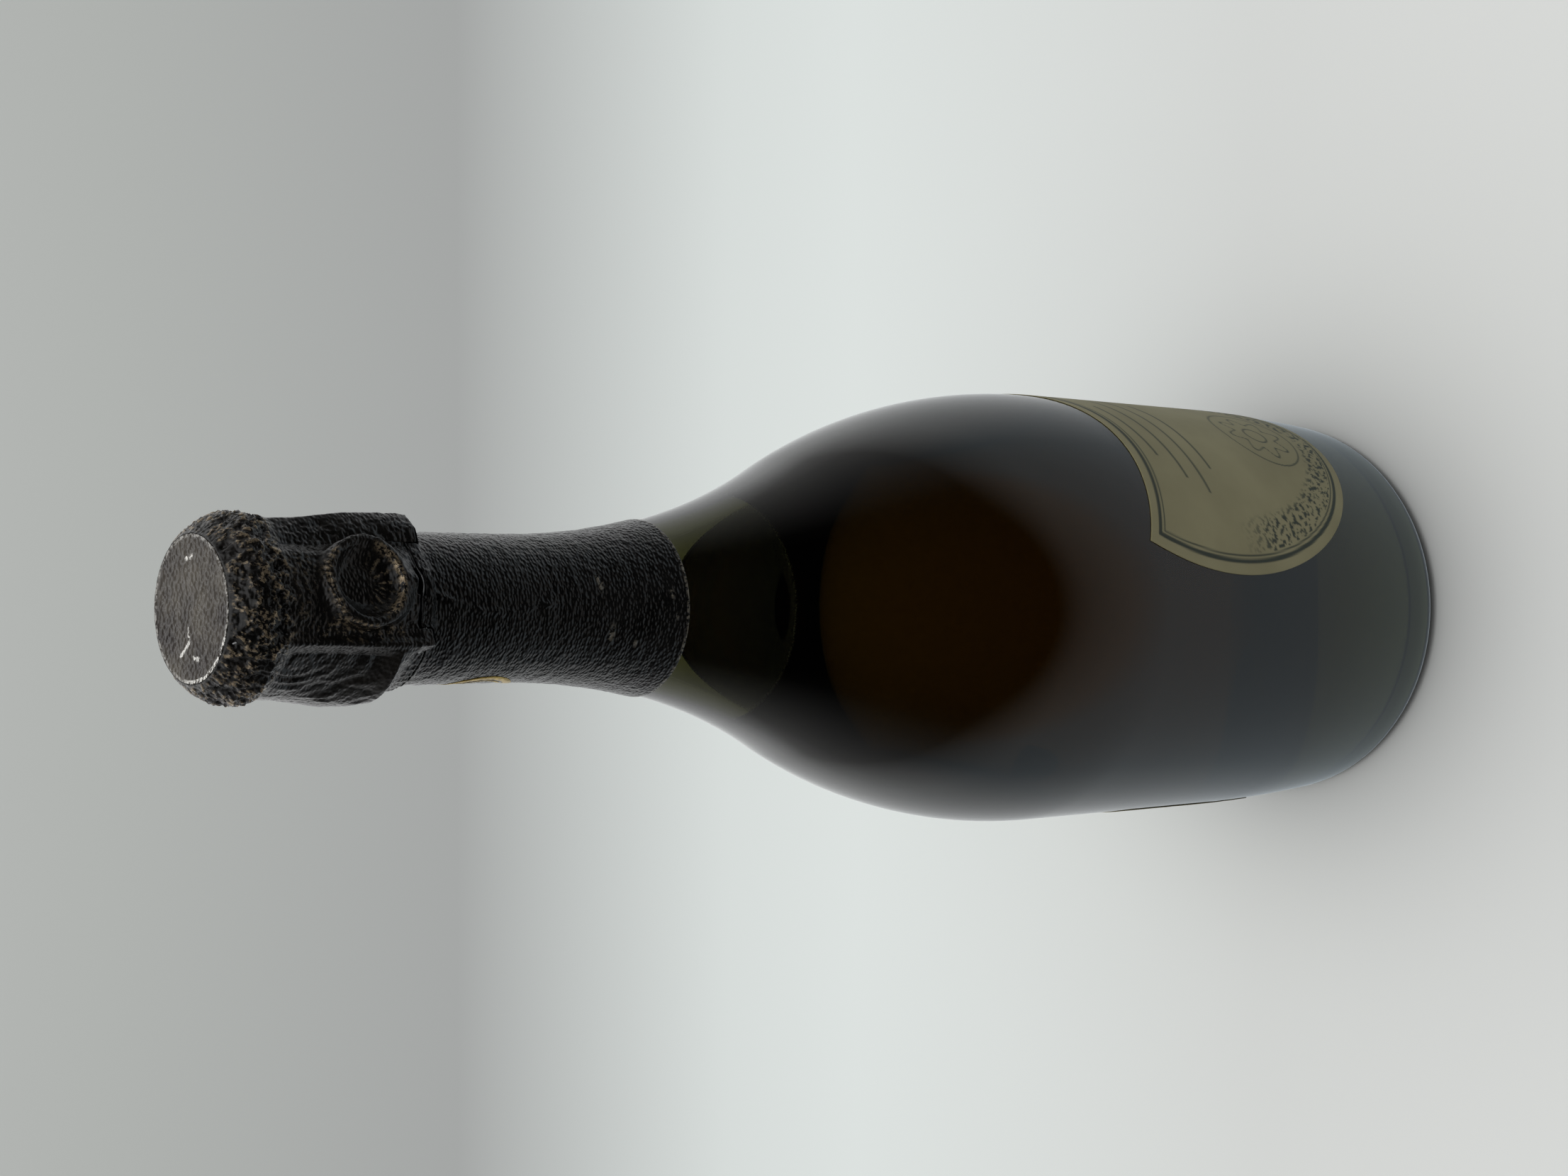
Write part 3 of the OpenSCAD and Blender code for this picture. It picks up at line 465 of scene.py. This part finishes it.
def crease(p, scale, octaves=3):
    total, size = 0.0, 1.0
    for octave in range(octaves):
        total += size * (0.5 - 2 * abs(noise.noise(p * scale + Vector((7.1, 3.3, 5.7)) * octave)))
        scale *= 2.1
        size *= 0.55
    return total


def band(x, low, high, edge):
    return smooth((x - low) / edge) * smooth((high - x) / edge)


def foil_shape(turn, z):
    """Outer radius of the foil over cage and cork, with its folds and crumples, and where bronze metal is painted in,
    as painted glints and partly as scraped lacquer.
    """
    view = turn_from(turn, CAMERA_TURN)
    r, wear = section_radius(view, z), 0.0
    side = abs(turn_from(turn, KEY_TURN))
    if side < 60:
        # Drawn flat over the key's eye and its stem, and pressed in with a thumb inside the eye
        x = 15.7 * math.tan(math.radians(turn_from(turn, KEY_TURN)))
        y = z - KEY_EYE_Z
        q = math.hypot(x, y)
        wire = 0.22 * math.exp(-((q - 7.0) / 0.9) ** 2)
        flat = (16.35 + wire) / cos_deg(side)
        r += max(0.0, flat - r) * smooth((10 - q) / 2.6) * smooth((z - 268.2) / 1.2)
        stem = math.exp(-(x / 1.6) ** 2) * smooth((z - 268.6) / 0.9) * smooth((275 - z) / 1.5)
        r += max(0.0, 16.5 - r) * stem
        if q < 6.5:
            fold = math.atan2(y, x)
            cup = min(1.0, 1.35 * (1 - (q / 6.5) ** 2) ** 0.55)
            lower = smooth((-y - 0.4) / 2.2) * band(q, 1.6, 6.0, 1.2)
            ray = math.cos(17 * fold + 1.6 * math.sin(3 * fold))
            r = max(r - 2.5 * cup, 14.3) + 0.3 * lower * (1 + ray) * (1 - q / 6.5)
            # Painted highlight: bronze metal on the crests of the dent's lower folds, partly scraped lacquer
            wear += 0.55 * lower * smooth(2 * ray - 1)
        # Painted highlight: bronze metal along the dent's lower rim
        wear += 1.3 * math.exp(-((q - 6.6) / 0.35) ** 2) * smooth((-y - 1.5) / 3)
        for row in BEAD_ROWS:
            gap, at = trace(x, y, row)
            if gap < 1.2:
                bead = math.exp(-(gap / 0.55) ** 2) * math.cos(math.pi * at / BEAD) ** 2
                r += 0.1 * math.exp(-(gap / 0.7) ** 2) + 0.34 * bead
                # Painted glints: bronze metal on the beads' crests, partly lacquer scraped off them
                wear += 0.75 * bead
    p = polar(turn, 16, z) / MM
    # Wrinkles that run round the hollow left of the leg
    hollow = band(view, -82, -25, 7) * band(z, 273.5, 296, 3)
    if hollow:
        turnings = math.hypot((view + 36) * 0.28, (z - 291) * 0.75) + 2.2 * noise.noise(p * 0.16)
        r += hollow * 0.26 * math.sin(2 * math.pi * turnings / 2.7) * (0.35 + 1.3 * noise.noise(p * 0.25))
    # Crumples, deepest on the slope under the top and down the dark side of the leg
    slope = smooth((z - 293.5) / 3) * smooth((304.9 - z) / 0.8)
    front = band(view, -21, 40, 6) * band(z, 287, 300, 4)
    beside_leg = band(view, -21, -8, 3) * band(z, 270, 290, 3)
    right = band(view, 36, 66, 5) * band(z, 267, 294, 4)
    under = smooth((274 - z) / 3)
    facet = crease(p, 0.42) + 0.75 * crease(p, 1.05, 2)
    r += (0.035 + 0.38 * slope + 0.14 * front + 0.12 * beside_leg + 0.16 * right + 0.1 * under) * facet
    # Painted glints: bronze metal on the crests of the crumples, most on the slope and on the camera's side, partly
    # lacquer scraped off them
    wear += (0.95 * slope + 0.13 * front + 0.3 * beside_leg) * smooth((facet - 0.3) / 0.5)
    return r, wear


def foil_shell(rows, columns, shape):
    """Spins a line of the foil round the axis, then moves each point to its fold."""
    bm = revolve([(10.0, z) for z in rows], columns)
    worn_and_glinting = bm.verts.layers.float.new("wear")
    for vert in bm.verts:
        turn = math.degrees(math.atan2(vert.co.x, -vert.co.y))
        z = vert.co.z / MM
        r, vert[worn_and_glinting] = shape(turn, z)
        vert.co = polar(turn, r, z)
    return bm


# Left open round the key's root, and narrower either side of its stem, so that the key folds clear of foil and belt
PATCH_HALF, ROOT_HALF = 7.95, 2.4
ROOT_GAP, SIDE_GAP = (268.15, 270.2), (268.9, 269.7)


def beside_key(centre):
    """Distance right of the key and height above its eye, in mm, or None on the far side of the neck."""
    turn = turn_from(math.degrees(math.atan2(centre.x, -centre.y)), KEY_TURN)
    if abs(turn) > 60:
        return None
    return math.hypot(centre.x, centre.y) / MM * sin_deg(turn), centre.z / MM - KEY_EYE_Z


def in_notch(centre):
    place = beside_key(centre)
    return bool(place) and (abs(place[0]) < PATCH_HALF if place[1] < 0 else math.hypot(*place) < PATCH_HALF)


def root_gap(centre):
    return ROOT_GAP if abs(beside_key(centre)[0]) < ROOT_HALF else SIDE_GAP


def in_patch(centre):
    return in_notch(centre) and centre.z / MM > root_gap(centre)[1]


def in_strip(centre):
    place = beside_key(centre)
    if centre.z / MM < TEAR_Z - 0.3:
        return True
    return bool(place) and abs(place[0]) < PATCH_HALF - 0.15 and centre.z / MM < root_gap(centre)[0]


def keep_faces(bm, wanted):
    wrong = [f for f in bm.faces if not wanted(f.calc_center_median())]
    bmesh.ops.delete(bm, geom=wrong, context="FACES")
    bmesh.ops.recalc_face_normals(bm, faces=bm.faces)


def give_thickness(piece, t):
    wall = piece.modifiers.new("thickness", "SOLIDIFY")
    wall.thickness = t * MM
    wall.offset = -1


def build_foil():
    steps = 130
    rows = [TEAR_Z + (TOP_Z - 0.1 - TEAR_Z) * i / steps for i in range(steps + 1)]
    hood = foil_shell(rows, 3 * steps, foil_shape)
    patch = hood.copy()
    keep_faces(hood, lambda centre: not in_notch(centre))
    keep_faces(patch, in_patch)
    for name, bm, body, replaced in (("hood_foil", hood, "hood", "foil_hood"),
                                     ("key_patch", patch, "key", "key_foil")):
        give_thickness(finish_piece(name, bm, black_foil, body, [replaced], 0), 0.2)


# Scratches across the disc, in mm from its centre
SCRATCHES = (((-1.5, 8.6), (-2.6, 5.2), (-1.0, 3.4)), ((-6.8, 5.6), (-5.2, 6.4)), ((4.6, -7.5), (6.2, -6.1)))


def build_top_disc():
    # A shallow dish, pressed down in its front half
    edge = 12.6
    disc = revolve([(0, TOP_Z - 0.24)] + [(edge * i / 40, TOP_Z - 0.24) for i in range(1, 40)]
                   + [(edge, TOP_Z - 0.24), (edge, TOP_Z - 0.06), (edge - 0.08, TOP_Z)]
                   + [((edge - 0.1) * i / 40, TOP_Z - 0.03) for i in range(39, 0, -1)] + [(0, TOP_Z - 0.03)], 160)
    worn_and_glinting = disc.verts.layers.float.new("wear")
    for vert in disc.verts:
        p = vert.co / MM
        view = turn_from(math.degrees(math.atan2(p.x, -p.y)), CAMERA_TURN)
        # The lacquer is scraped through a little all round the rim and in two scratches; the bright arc along the rim
        # on the left, on the camera's side, is a painted highlight.
        scratch = min(trace(p.x, p.y, line)[0] for line in SCRATCHES)
        vert[worn_and_glinting] = (3 * smooth((p.xy.length - 11.9) / 0.3) * (0.1 + band(view, -100, -15, 25))
                      + 2 * smooth((0.35 - scratch) / 0.2))
        if vert.co.z > (TOP_Z - 0.04) * MM and vert.co.xy.length < 12.4 * MM:
            rim = smooth((12.4 - p.xy.length) / 1.2)
            dish = smooth((12.4 - p.xy.length) / 5)
            near = smooth((p.x * sin_deg(CAMERA_TURN) - p.y * cos_deg(CAMERA_TURN) + 3) / 6)
            vert.co.z += rim * (0.07 * noise.noise(p * 0.3) + 0.06 * noise.noise(p * 1.1) - 0.07 - 0.1 * dish
                                + 0.06 * near * crease(p, 0.9, 2)) * MM
    finish_piece("top_disc", disc, disc_foil, "hood", ["foil_top_disc"], 30)


EMBLEM_TURN, EMBLEM_Z = -156.0, 248.0
# In mm round the neck from the side that faces the camera, and mm up
FOLD_LINE = ((3.5, 268), (1.2, 262), (-0.4, 256), (-0.8, 249), (0.6, 243), (0.8, 238))
SCUFFS = ((-4.5, 226.5, 1.1), (4.2, 229, 0.9), (5.5, 229.4, 0.7), (-6.6, 221, 0.5), (2.6, 214, 0.6), (-1.5, 213, 0.4))


def sleeve_shape(turn, z):
    p = polar(turn, 13.5, z) / MM
    view = turn_from(turn, CAMERA_TURN)
    across = view * math.radians(glass_r(z))
    gap, at = trace(across, z, FOLD_LINE)
    # One long fold winds down to the right, and faint ones lie round the neck.
    r = glass_r(z) + 0.36 + 0.45 * math.exp(-(gap / 0.5) ** 2) * smooth(at / 3) * (0.7 + noise.noise(p * 0.5))
    ring = noise.noise(Vector((p.x * 0.12, p.y * 0.12, p.z * 0.8)))
    r += (0.06 * crease(p, 0.3, 2) + 0.07 * ring) * smooth((z - SLEEVE_LOW_Z) / 3)
    wear = 0.7 * smooth((SLEEVE_LOW_Z + 0.5 - z) / 0.3)
    for s, height, size in SCUFFS:
        wear += math.exp(-((across - s) / size) ** 2 - ((z - height) * 2.5 / size) ** 2)
    flare = smooth((z - 265.2) / (TEAR_Z - 265.2))
    if flare:
        r += (foil_shape(turn, max(z, TEAR_Z))[0] - 0.15 - r) * flare
    return r, wear


def build_sleeve():
    # In front of the key's root the sleeve keeps a strip of the hood, for the key to fold out above.
    steps = 180
    rows = [SLEEVE_LOW_Z + (SIDE_GAP[0] - SLEEVE_LOW_Z) * i / steps for i in range(steps + 1)]
    sleeve = foil_shell(rows, 260, sleeve_shape)
    keep_faces(sleeve, in_strip)
    give_thickness(finish_piece("neck_foil", sleeve, sleeve_foil, "bottle", ["neck_sleeve"], 0), 0.2)


def build_emblem():
    """A printed double oval, laid on the foil round the neck."""
    bm = bmesh.new()
    for outer, inner in ((0.0, 1.5), (2.1, 2.5)):
        rings = []
        for inset in (outer, (outer + inner) / 2, inner):
            ring = []
            for i in range(120):
                s, z = (8.5 - inset) * cos_deg(3 * i), EMBLEM_Z + (8.0 - inset) * sin_deg(3 * i)
                turn = EMBLEM_TURN + math.degrees(s / 13.55)
                # The foil's own thickness of 0.2 mm lies outside that radius.
                ring.append(bm.verts.new(polar(turn, sleeve_shape(turn, z)[0] + 0.25, z)))
            rings.append(ring)
        for ring, next_ring in zip(rings, rings[1:]):
            for i in range(120):
                bm.faces.new((ring[i - 1], ring[i], next_ring[i], next_ring[i - 1]))
    give_thickness(finish_piece("gold_oval", bm, gold, "bottle", ["neck_emblem"], 0), 0.04)


# ---------------------------------------------------------------- labels

PAPER_OUT = 0.17
LABEL_Z0, LABEL_Z1, LABEL_EAR, LABEL_HOLLOW = 24.5, 108.5, 33.0, 8.0
LABEL_SIDE = bezier((LABEL_EAR, LABEL_Z1), (LABEL_EAR + 17, LABEL_Z1 - 36.1), (36, LABEL_Z0 + 1), (0, LABEL_Z0), 80)
LABEL_WIDTHS = [(z, x) for x, z in LABEL_SIDE[::-1]]


def line_ink(gap, half):
    return smooth((half + 0.22 - abs(gap)) / 0.3)


def front_print(s, z):
    """Border lines, a ruled middle and a plain rosette in a wreath of leaves."""
    half = lookup(z, LABEL_WIDTHS)
    slope = (lookup(z + 0.5, LABEL_WIDTHS) - lookup(z - 0.5, LABEL_WIDTHS)) if z < LABEL_Z1 - 1 else -0.3
    top = LABEL_Z1 - LABEL_HOLLOW * (1 - (s / LABEL_EAR) ** 2)
    inset = min((half - abs(s)) / math.hypot(1, slope), top - z)
    ink = max(line_ink(inset - 3.0, 0.45), line_ink(inset - 4.3, 0.12))
    if inset > 7:
        q = math.hypot(s, z - 46)
        petals = 7.2 + 1.5 * math.cos(8 * math.atan2(s, z - 46))
        ink = max(ink, line_ink(q - petals, 0.2), line_ink(q - 3, 0.15), line_ink(q - 11.5, 0.12))
        if 74 < z < 95:
            ruled = (z - 74) % 5.25
            reach = (14, 21, 17, 11)[int((z - 74) / 5.25) % 4]
            if abs(s) < reach:
                ink = max(ink, 0.8 * line_ink(ruled - 2.6, 0.3))
    # Leaves between the rosette and the border, thinning out upwards
    if 4.9 < inset < 14 and z < 78:
        p = Vector((s, z, 0))
        leaf = noise.noise(p * 0.85) + 0.5 * noise.noise(p * 2.2)
        ink = max(ink, smooth((leaf - 0.06) / 0.16) * smooth((14 - inset) / 3) * smooth((78 - z) / 14))
    return ink


def back_print(s, z):
    inset = min(36 - abs(s), z - 22, 73 - z)
    ink = line_ink(inset - 3, 0.2)
    if inset > 6 and abs(s) < 24 - 3 * math.cos(z * 2.1):
        ink = max(ink, 0.7 * line_ink((z - 22) % 4.2 - 2, 0.25))
    return ink


def paper_sheet(name, columns, rows, place, centre_turn, print_at, replaced):
    """A flat grid from -1 to 1 each way, laid round the wall of the bottle."""
    bm = bmesh.new()
    bmesh.ops.create_grid(bm, x_segments=columns, y_segments=rows, size=1.0)
    ink = bm.verts.layers.float.new("ink")
    for vert in bm.verts:
        s, z = place(vert.co.x, (vert.co.y + 1) / 2)
        vert[ink] = print_at(s, z)
        vert.co = polar(centre_turn + math.degrees(s / BODY_R), glass_r(z) + PAPER_OUT, z)
    bmesh.ops.remove_doubles(bm, verts=bm.verts, dist=1e-6)
    give_thickness(finish_piece(name, bm, paper, "bottle", [replaced], 0), 0.12)


def front_place(u, v):
    z = LABEL_Z0 + (LABEL_Z1 - LABEL_Z0) * v
    s = u * lookup(z, LABEL_WIDTHS)
    return s, z - LABEL_HOLLOW * (1 - min(1.0, (s / LABEL_EAR) ** 2)) * smooth((v - 0.62) / 0.38)


def back_place(u, v):
    y = 51 * v
    corner = 5 - min(5, y, 51 - y)
    return u * (31 + math.sqrt(25 - corner ** 2)), 22 + y


def build_labels():
    fine = 1.0
    paper_sheet("front_paper", int(205 * fine), int(225 * fine), front_place, 0, front_print, "front_label")
    paper_sheet("back_paper", int(150 * fine), int(110 * fine), back_place, 180, back_print, "back_label")


def tube(name, lines, wire_d, look, body, replaced, turn=0.0):
    """Bends round wire along open or closed lines of (across, out, up), turned to an azimuth."""
    curve = bpy.data.curves.new(name, "CURVE")
    curve.dimensions = "3D"
    curve.bevel_depth = wire_d / 2 * MM
    curve.bevel_resolution = 3
    curve.resolution_u = 3
    curve.use_fill_caps = True
    for points, closed in lines:
        spline = curve.splines.new("BEZIER")
        spline.bezier_points.add(len(points) - 1)
        for bend, (x, y, z) in zip(spline.bezier_points, points):
            bend.co = Matrix.Rotation(math.radians(turn), 3, "Z") @ Vector((x, -y, z)) * MM
            bend.handle_left_type = bend.handle_right_type = "AUTO"
        spline.use_cyclic_u = closed
    bent = bpy.data.objects.new(name + "_line", curve)
    mesh = bpy.data.meshes.new_from_object(bent)
    mesh.name = name
    bpy.data.objects.remove(bent)
    mesh.materials.clear()
    return finish_piece(name, mesh, look, body, [replaced], 0)


def strand(side):
    """One wire of a leg, from the crown down to the top of the eye at its foot."""
    path = (bezier((12.6, 303.92), (13.6, 303.2), (14.4, 301.4), (14.4, 298), 8)
            + [(14.4, 298 - 10 * i / 12) for i in range(1, 13)]
            + bezier((14.4, 288), (14.4, 283), (FOOT_R, 280.5), (FOOT_R, 276), 14)[1:]
            + [(FOOT_R, 276 - 7.05 * i / 10) for i in range(1, 11)])
    points = []
    for i, (r, z) in enumerate(path):
        before, after = path[max(0, i - 1)], path[min(len(path) - 1, i + 1)]
        along = Vector((after[0] - before[0], after[1] - before[1])).normalized()
        turned = 2 * math.pi * 6.25 * max(0, i - 5) / (len(path) - 6)
        spread = 0.37 + 1.1 * max(0.0, (5 - i) / 5) ** 2
        out = side * spread * math.sin(turned)
        points.append((side * spread * math.cos(turned), r - along.y * out, z + along.x * out))
    return points


def build_cage():
    ring = [(11.6 * sin_deg(30 * i), 11.6 * cos_deg(30 * i), 304.12) for i in range(12)]
    tube("crown_wire", [(ring, True)], 1.0, tinned_wire, "cage", "cage_crown")
    for index in range(4):
        foot = [(0.0, FOOT_R + FOOT_EYE_R * cos_deg(68 - 28.7 * i), BELT_Z + FOOT_EYE_R * sin_deg(68 - 28.7 * i))
                for i in range(1, 11)]
        tube("leg_wire_%d" % (index + 1), [(strand(1) + foot + strand(-1)[::-1], False)], 0.7, tinned_wire,
             "cage", "cage_leg_%d" % (index + 1), LEG_TURN + 90 * index)

    def swell(turn, centre, half):
        gap = abs(turn_from(turn, centre))
        return (1 + cos_deg(180 * gap / half)) / 2 if gap < half else 0.0
    belt = []
    for i in range(90):
        turn = LEG_TURN + 4 * i
        r = BELT_R + (FOOT_R - BELT_R) * max(swell(turn, LEG_TURN + 90 * k, 17) for k in range(4))
        r += (KEY_R - 0.35 - BELT_R) * swell(turn, KEY_TURN, 15)
        belt.append((r * sin_deg(turn), r * cos_deg(turn), BELT_Z))
    tube("belt_ring", [(belt, True)], 0.9, tinned_wire, "cage", "belt_wire")


def build_key():
    def stem(side):
        return [(side * 0.48 * cos_deg(45 * i), KEY_R + side * 0.48 * sin_deg(45 * i), KEY_HINGE_Z + KEY_STEM * i / 8)
                for i in range(9)]
    parted = math.degrees(math.asin(0.48 / KEY_EYE_R))
    eye = [(KEY_EYE_R * cos_deg(a), KEY_R, KEY_EYE_Z + KEY_EYE_R * sin_deg(a))
           for a in (-90 + parted + (360 - 2 * parted) * i / 32 for i in range(1, 32))]
    tube("key_wire", [(stem(1) + eye + stem(-1)[::-1], False)], 0.9, tinned_wire, "key", "key_loop", KEY_TURN)


build_glass()
build_wine()
build_bubbles()
build_foil()
build_top_disc()
build_sleeve()
build_emblem()
build_labels()
build_cage()
build_key()
for name, look in (("cork_body", pressed_cork), ("cork_disc_upper", bark_cork), ("cork_disc_lower", bark_cork),
                   ("plaque", tinplate)):
    mesh = nodes[name].data
    mesh.materials.clear()
    mesh.materials.append(look)


# ---------------------------------------------------------------- stage

def wall_tone(tree, direction):
    """Tone of the room by bearing: dark on the camera's side, pale behind the bottle."""
    level = add(tree, "VectorMath", {"operation": "MULTIPLY", 1: (1, 1, 0)}, {0: direction})
    bearing = add(tree, "VectorMath", {"operation": "NORMALIZE"}, {0: level.outputs["Vector"]})
    back = add(tree, "SeparateXYZ", links={"Vector": bearing.outputs["Vector"]})
    depth = add(tree, "MapRange", {"From Min": -0.6, "From Max": 0.8}, {"Value": back.outputs["Y"]})
    tone = add(tree, "ValToRGB", {"stops": [(0.0, 0.006), (0.1, 0.015), (0.27, 0.09), (0.45, 0.2), (0.67, 0.34),
                                            (0.8, 0.5), (0.95, 0.95)]}, {"Fac": depth.outputs["Result"]})
    return tone.outputs["Color"]


def build_floor():
    made, tree, here = start_material("white_table")
    place = add(tree, "Mapping", {"Rotation": (0, 0, math.radians(-CAMERA_TURN))}, {"Vector": here})
    axes = add(tree, "SeparateXYZ", links={"Vector": place.outputs["Vector"]})
    # The white table turns darker grey from 0.26 m behind the bottle, and paler again further off.
    depth = add(tree, "MapRange", {"From Min": -0.25, "From Max": 1.25}, {"Value": axes.outputs["Y"]})
    tone = add(tree, "ValToRGB", {"stops": [(0.0, "#d0d1cf"), (0.17, "#c3c5c3"), (0.27, "#cbd0ce"), (0.31, "#c6cbc9"),
                                            (0.41, "#989a99"), (0.6, "#a8aba8"), (1.0, "#c4c6c4")]},
               {"Fac": depth.outputs["Result"]})
    shader = add(tree, "BsdfPrincipled", {"Roughness": 0.7, "Specular IOR Level": 0.2},
                 {"Base Color": tone.outputs["Color"]})
    # In gloss and glass the floor does not take light but glows with painted tones, a painted reflection: nearly black
    # from 0.3 m before the bottle, which is painted shade, and further off the walls of the room. Near the bottle the
    # glowing sheet is a little bluer.
    front = add(tree, "MapRange", {"From Min": -0.36, "From Max": 0.2}, {"Value": axes.outputs["Y"]})
    sheet = add(tree, "ValToRGB", {"stops": [(0.0, "#0c0c0c"), (0.18, "#86807b"), (0.32, "#a09b97"), (0.41, "#9ea6ab"),
                                             (0.6, "#9ca6ac"), (0.76, "#c6c9ca"), (1.0, "#e4e6e6")]},
                {"Fac": front.outputs["Result"]})
    reach = add(tree, "VectorMath", {"operation": "LENGTH"}, {0: place.outputs["Vector"]})
    far = add(tree, "MapRange", {"From Min": 0.3, "From Max": 0.6}, {"Value": reach.outputs["Value"]})
    around = add(tree, "Mix", {"data_type": "RGBA"},
                 {0: far.outputs["Result"], 6: sheet.outputs["Color"],
                  7: wall_tone(tree, place.outputs["Vector"])})
    # The floor glows in reflections with these painted tones, as a painted reflection.
    reflection_glow = add(tree, "Emission", {"Strength": 1.0}, {"Color": around.outputs[2]})
    rays = add(tree, "LightPath")
    mixed = add(tree, "MixShader", links={0: rays.outputs["Is Glossy Ray"], 1: shader.outputs["BSDF"],
                                          2: reflection_glow.outputs["Emission"]})
    add(tree, "OutputMaterial", links={"Surface": mixed.outputs["Shader"]})
    bm = bmesh.new()
    bmesh.ops.create_circle(bm, cap_ends=True, radius=6.0, segments=64)
    mesh = bpy.data.meshes.new("table")
    bm.to_mesh(mesh)
    bm.free()
    mesh.materials.append(made)
    floor = bpy.data.objects.new("table", mesh)
    bpy.context.scene.collection.objects.link(floor)


def build_world():
    world = bpy.data.worlds.new("room")
    bpy.context.scene.world = world
    world.use_nodes = True
    tree = world.node_tree
    tree.nodes.clear()
    place = add(tree, "Mapping", {"Rotation": (0, 0, math.radians(-CAMERA_TURN))},
                {"Vector": add(tree, "TexCoord").outputs["Generated"]})
    axes = add(tree, "SeparateXYZ", links={"Vector": place.outputs["Vector"]})
    wall = wall_tone(tree, place.outputs["Vector"])
    height = add(tree, "MapRange", {"From Min": 0.6, "From Max": 0.92}, {"Value": axes.outputs["Z"]})
    sky = add(tree, "Mix", {"data_type": "RGBA", 7: "#ffffff"}, {0: height.outputs["Result"], 6: wall})
    rays = add(tree, "LightPath")
    plain = add(tree, "Mix", {"data_type": "RGBA", 7: "#c9cbca"}, {0: rays.outputs["Is Camera Ray"], 6: sky.outputs[2]})
    back = add(tree, "Background", {"Strength": 1.0}, {"Color": plain.outputs[2]})
    add(tree, "OutputWorld", links={"Surface": back.outputs["Background"]})


def add_lamp(name, place, size, power):
    lamp = bpy.data.lights.new(name, "AREA")
    lamp.shape = "DISK"
    lamp.size = size
    lamp.energy = power
    thing = bpy.data.objects.new(name, lamp)
    bpy.context.scene.collection.objects.link(thing)
    thing.location = place
    # Gloss and glass show the white ceiling of the room instead.
    thing.visible_glossy = thing.visible_transmission = False
    thing.rotation_euler = (Vector((0, 0, 0.15)) - Vector(place)).to_track_quat("-Z", "Y").to_euler()


def add_camera():
    """The photograph's own view: 0.36 m before the bottle, 0.5 m up, looking down 42 degrees, on its side."""
    pitch, yaw, roll = 42.45, 0.65, 0.33
    forward = Vector((sin_deg(yaw) * cos_deg(pitch), cos_deg(yaw) * cos_deg(pitch), -sin_deg(pitch)))
    right = Vector((cos_deg(yaw), -sin_deg(yaw), 0))
    up = right.cross(forward)
    across = cos_deg(roll) * right + sin_deg(roll) * up
    upright = cos_deg(roll) * up - sin_deg(roll) * right
    turn = Matrix.Rotation(math.radians(CAMERA_TURN), 3, "Z")
    axes = Matrix((-upright, across, -forward)).transposed()
    lens = bpy.data.cameras.new("photo_view")
    lens.sensor_fit = "HORIZONTAL"
    lens.sensor_width = 36.0
    lens.lens = 54.08
    lens.clip_start = 0.01
    camera = bpy.data.objects.new("photo_view", lens)
    bpy.context.scene.collection.objects.link(camera)
    camera.matrix_world = Matrix.Translation(turn @ Vector((0, -0.3569, 0.4972))) @ (turn @ axes).to_4x4()
    bpy.context.scene.camera = camera


build_floor()
build_world()
add_lamp("overhead", (0.0, 0.0, 1.5), 1.1, 15.0)
add_camera()
bpy.context.scene.view_settings.view_transform = "Standard"
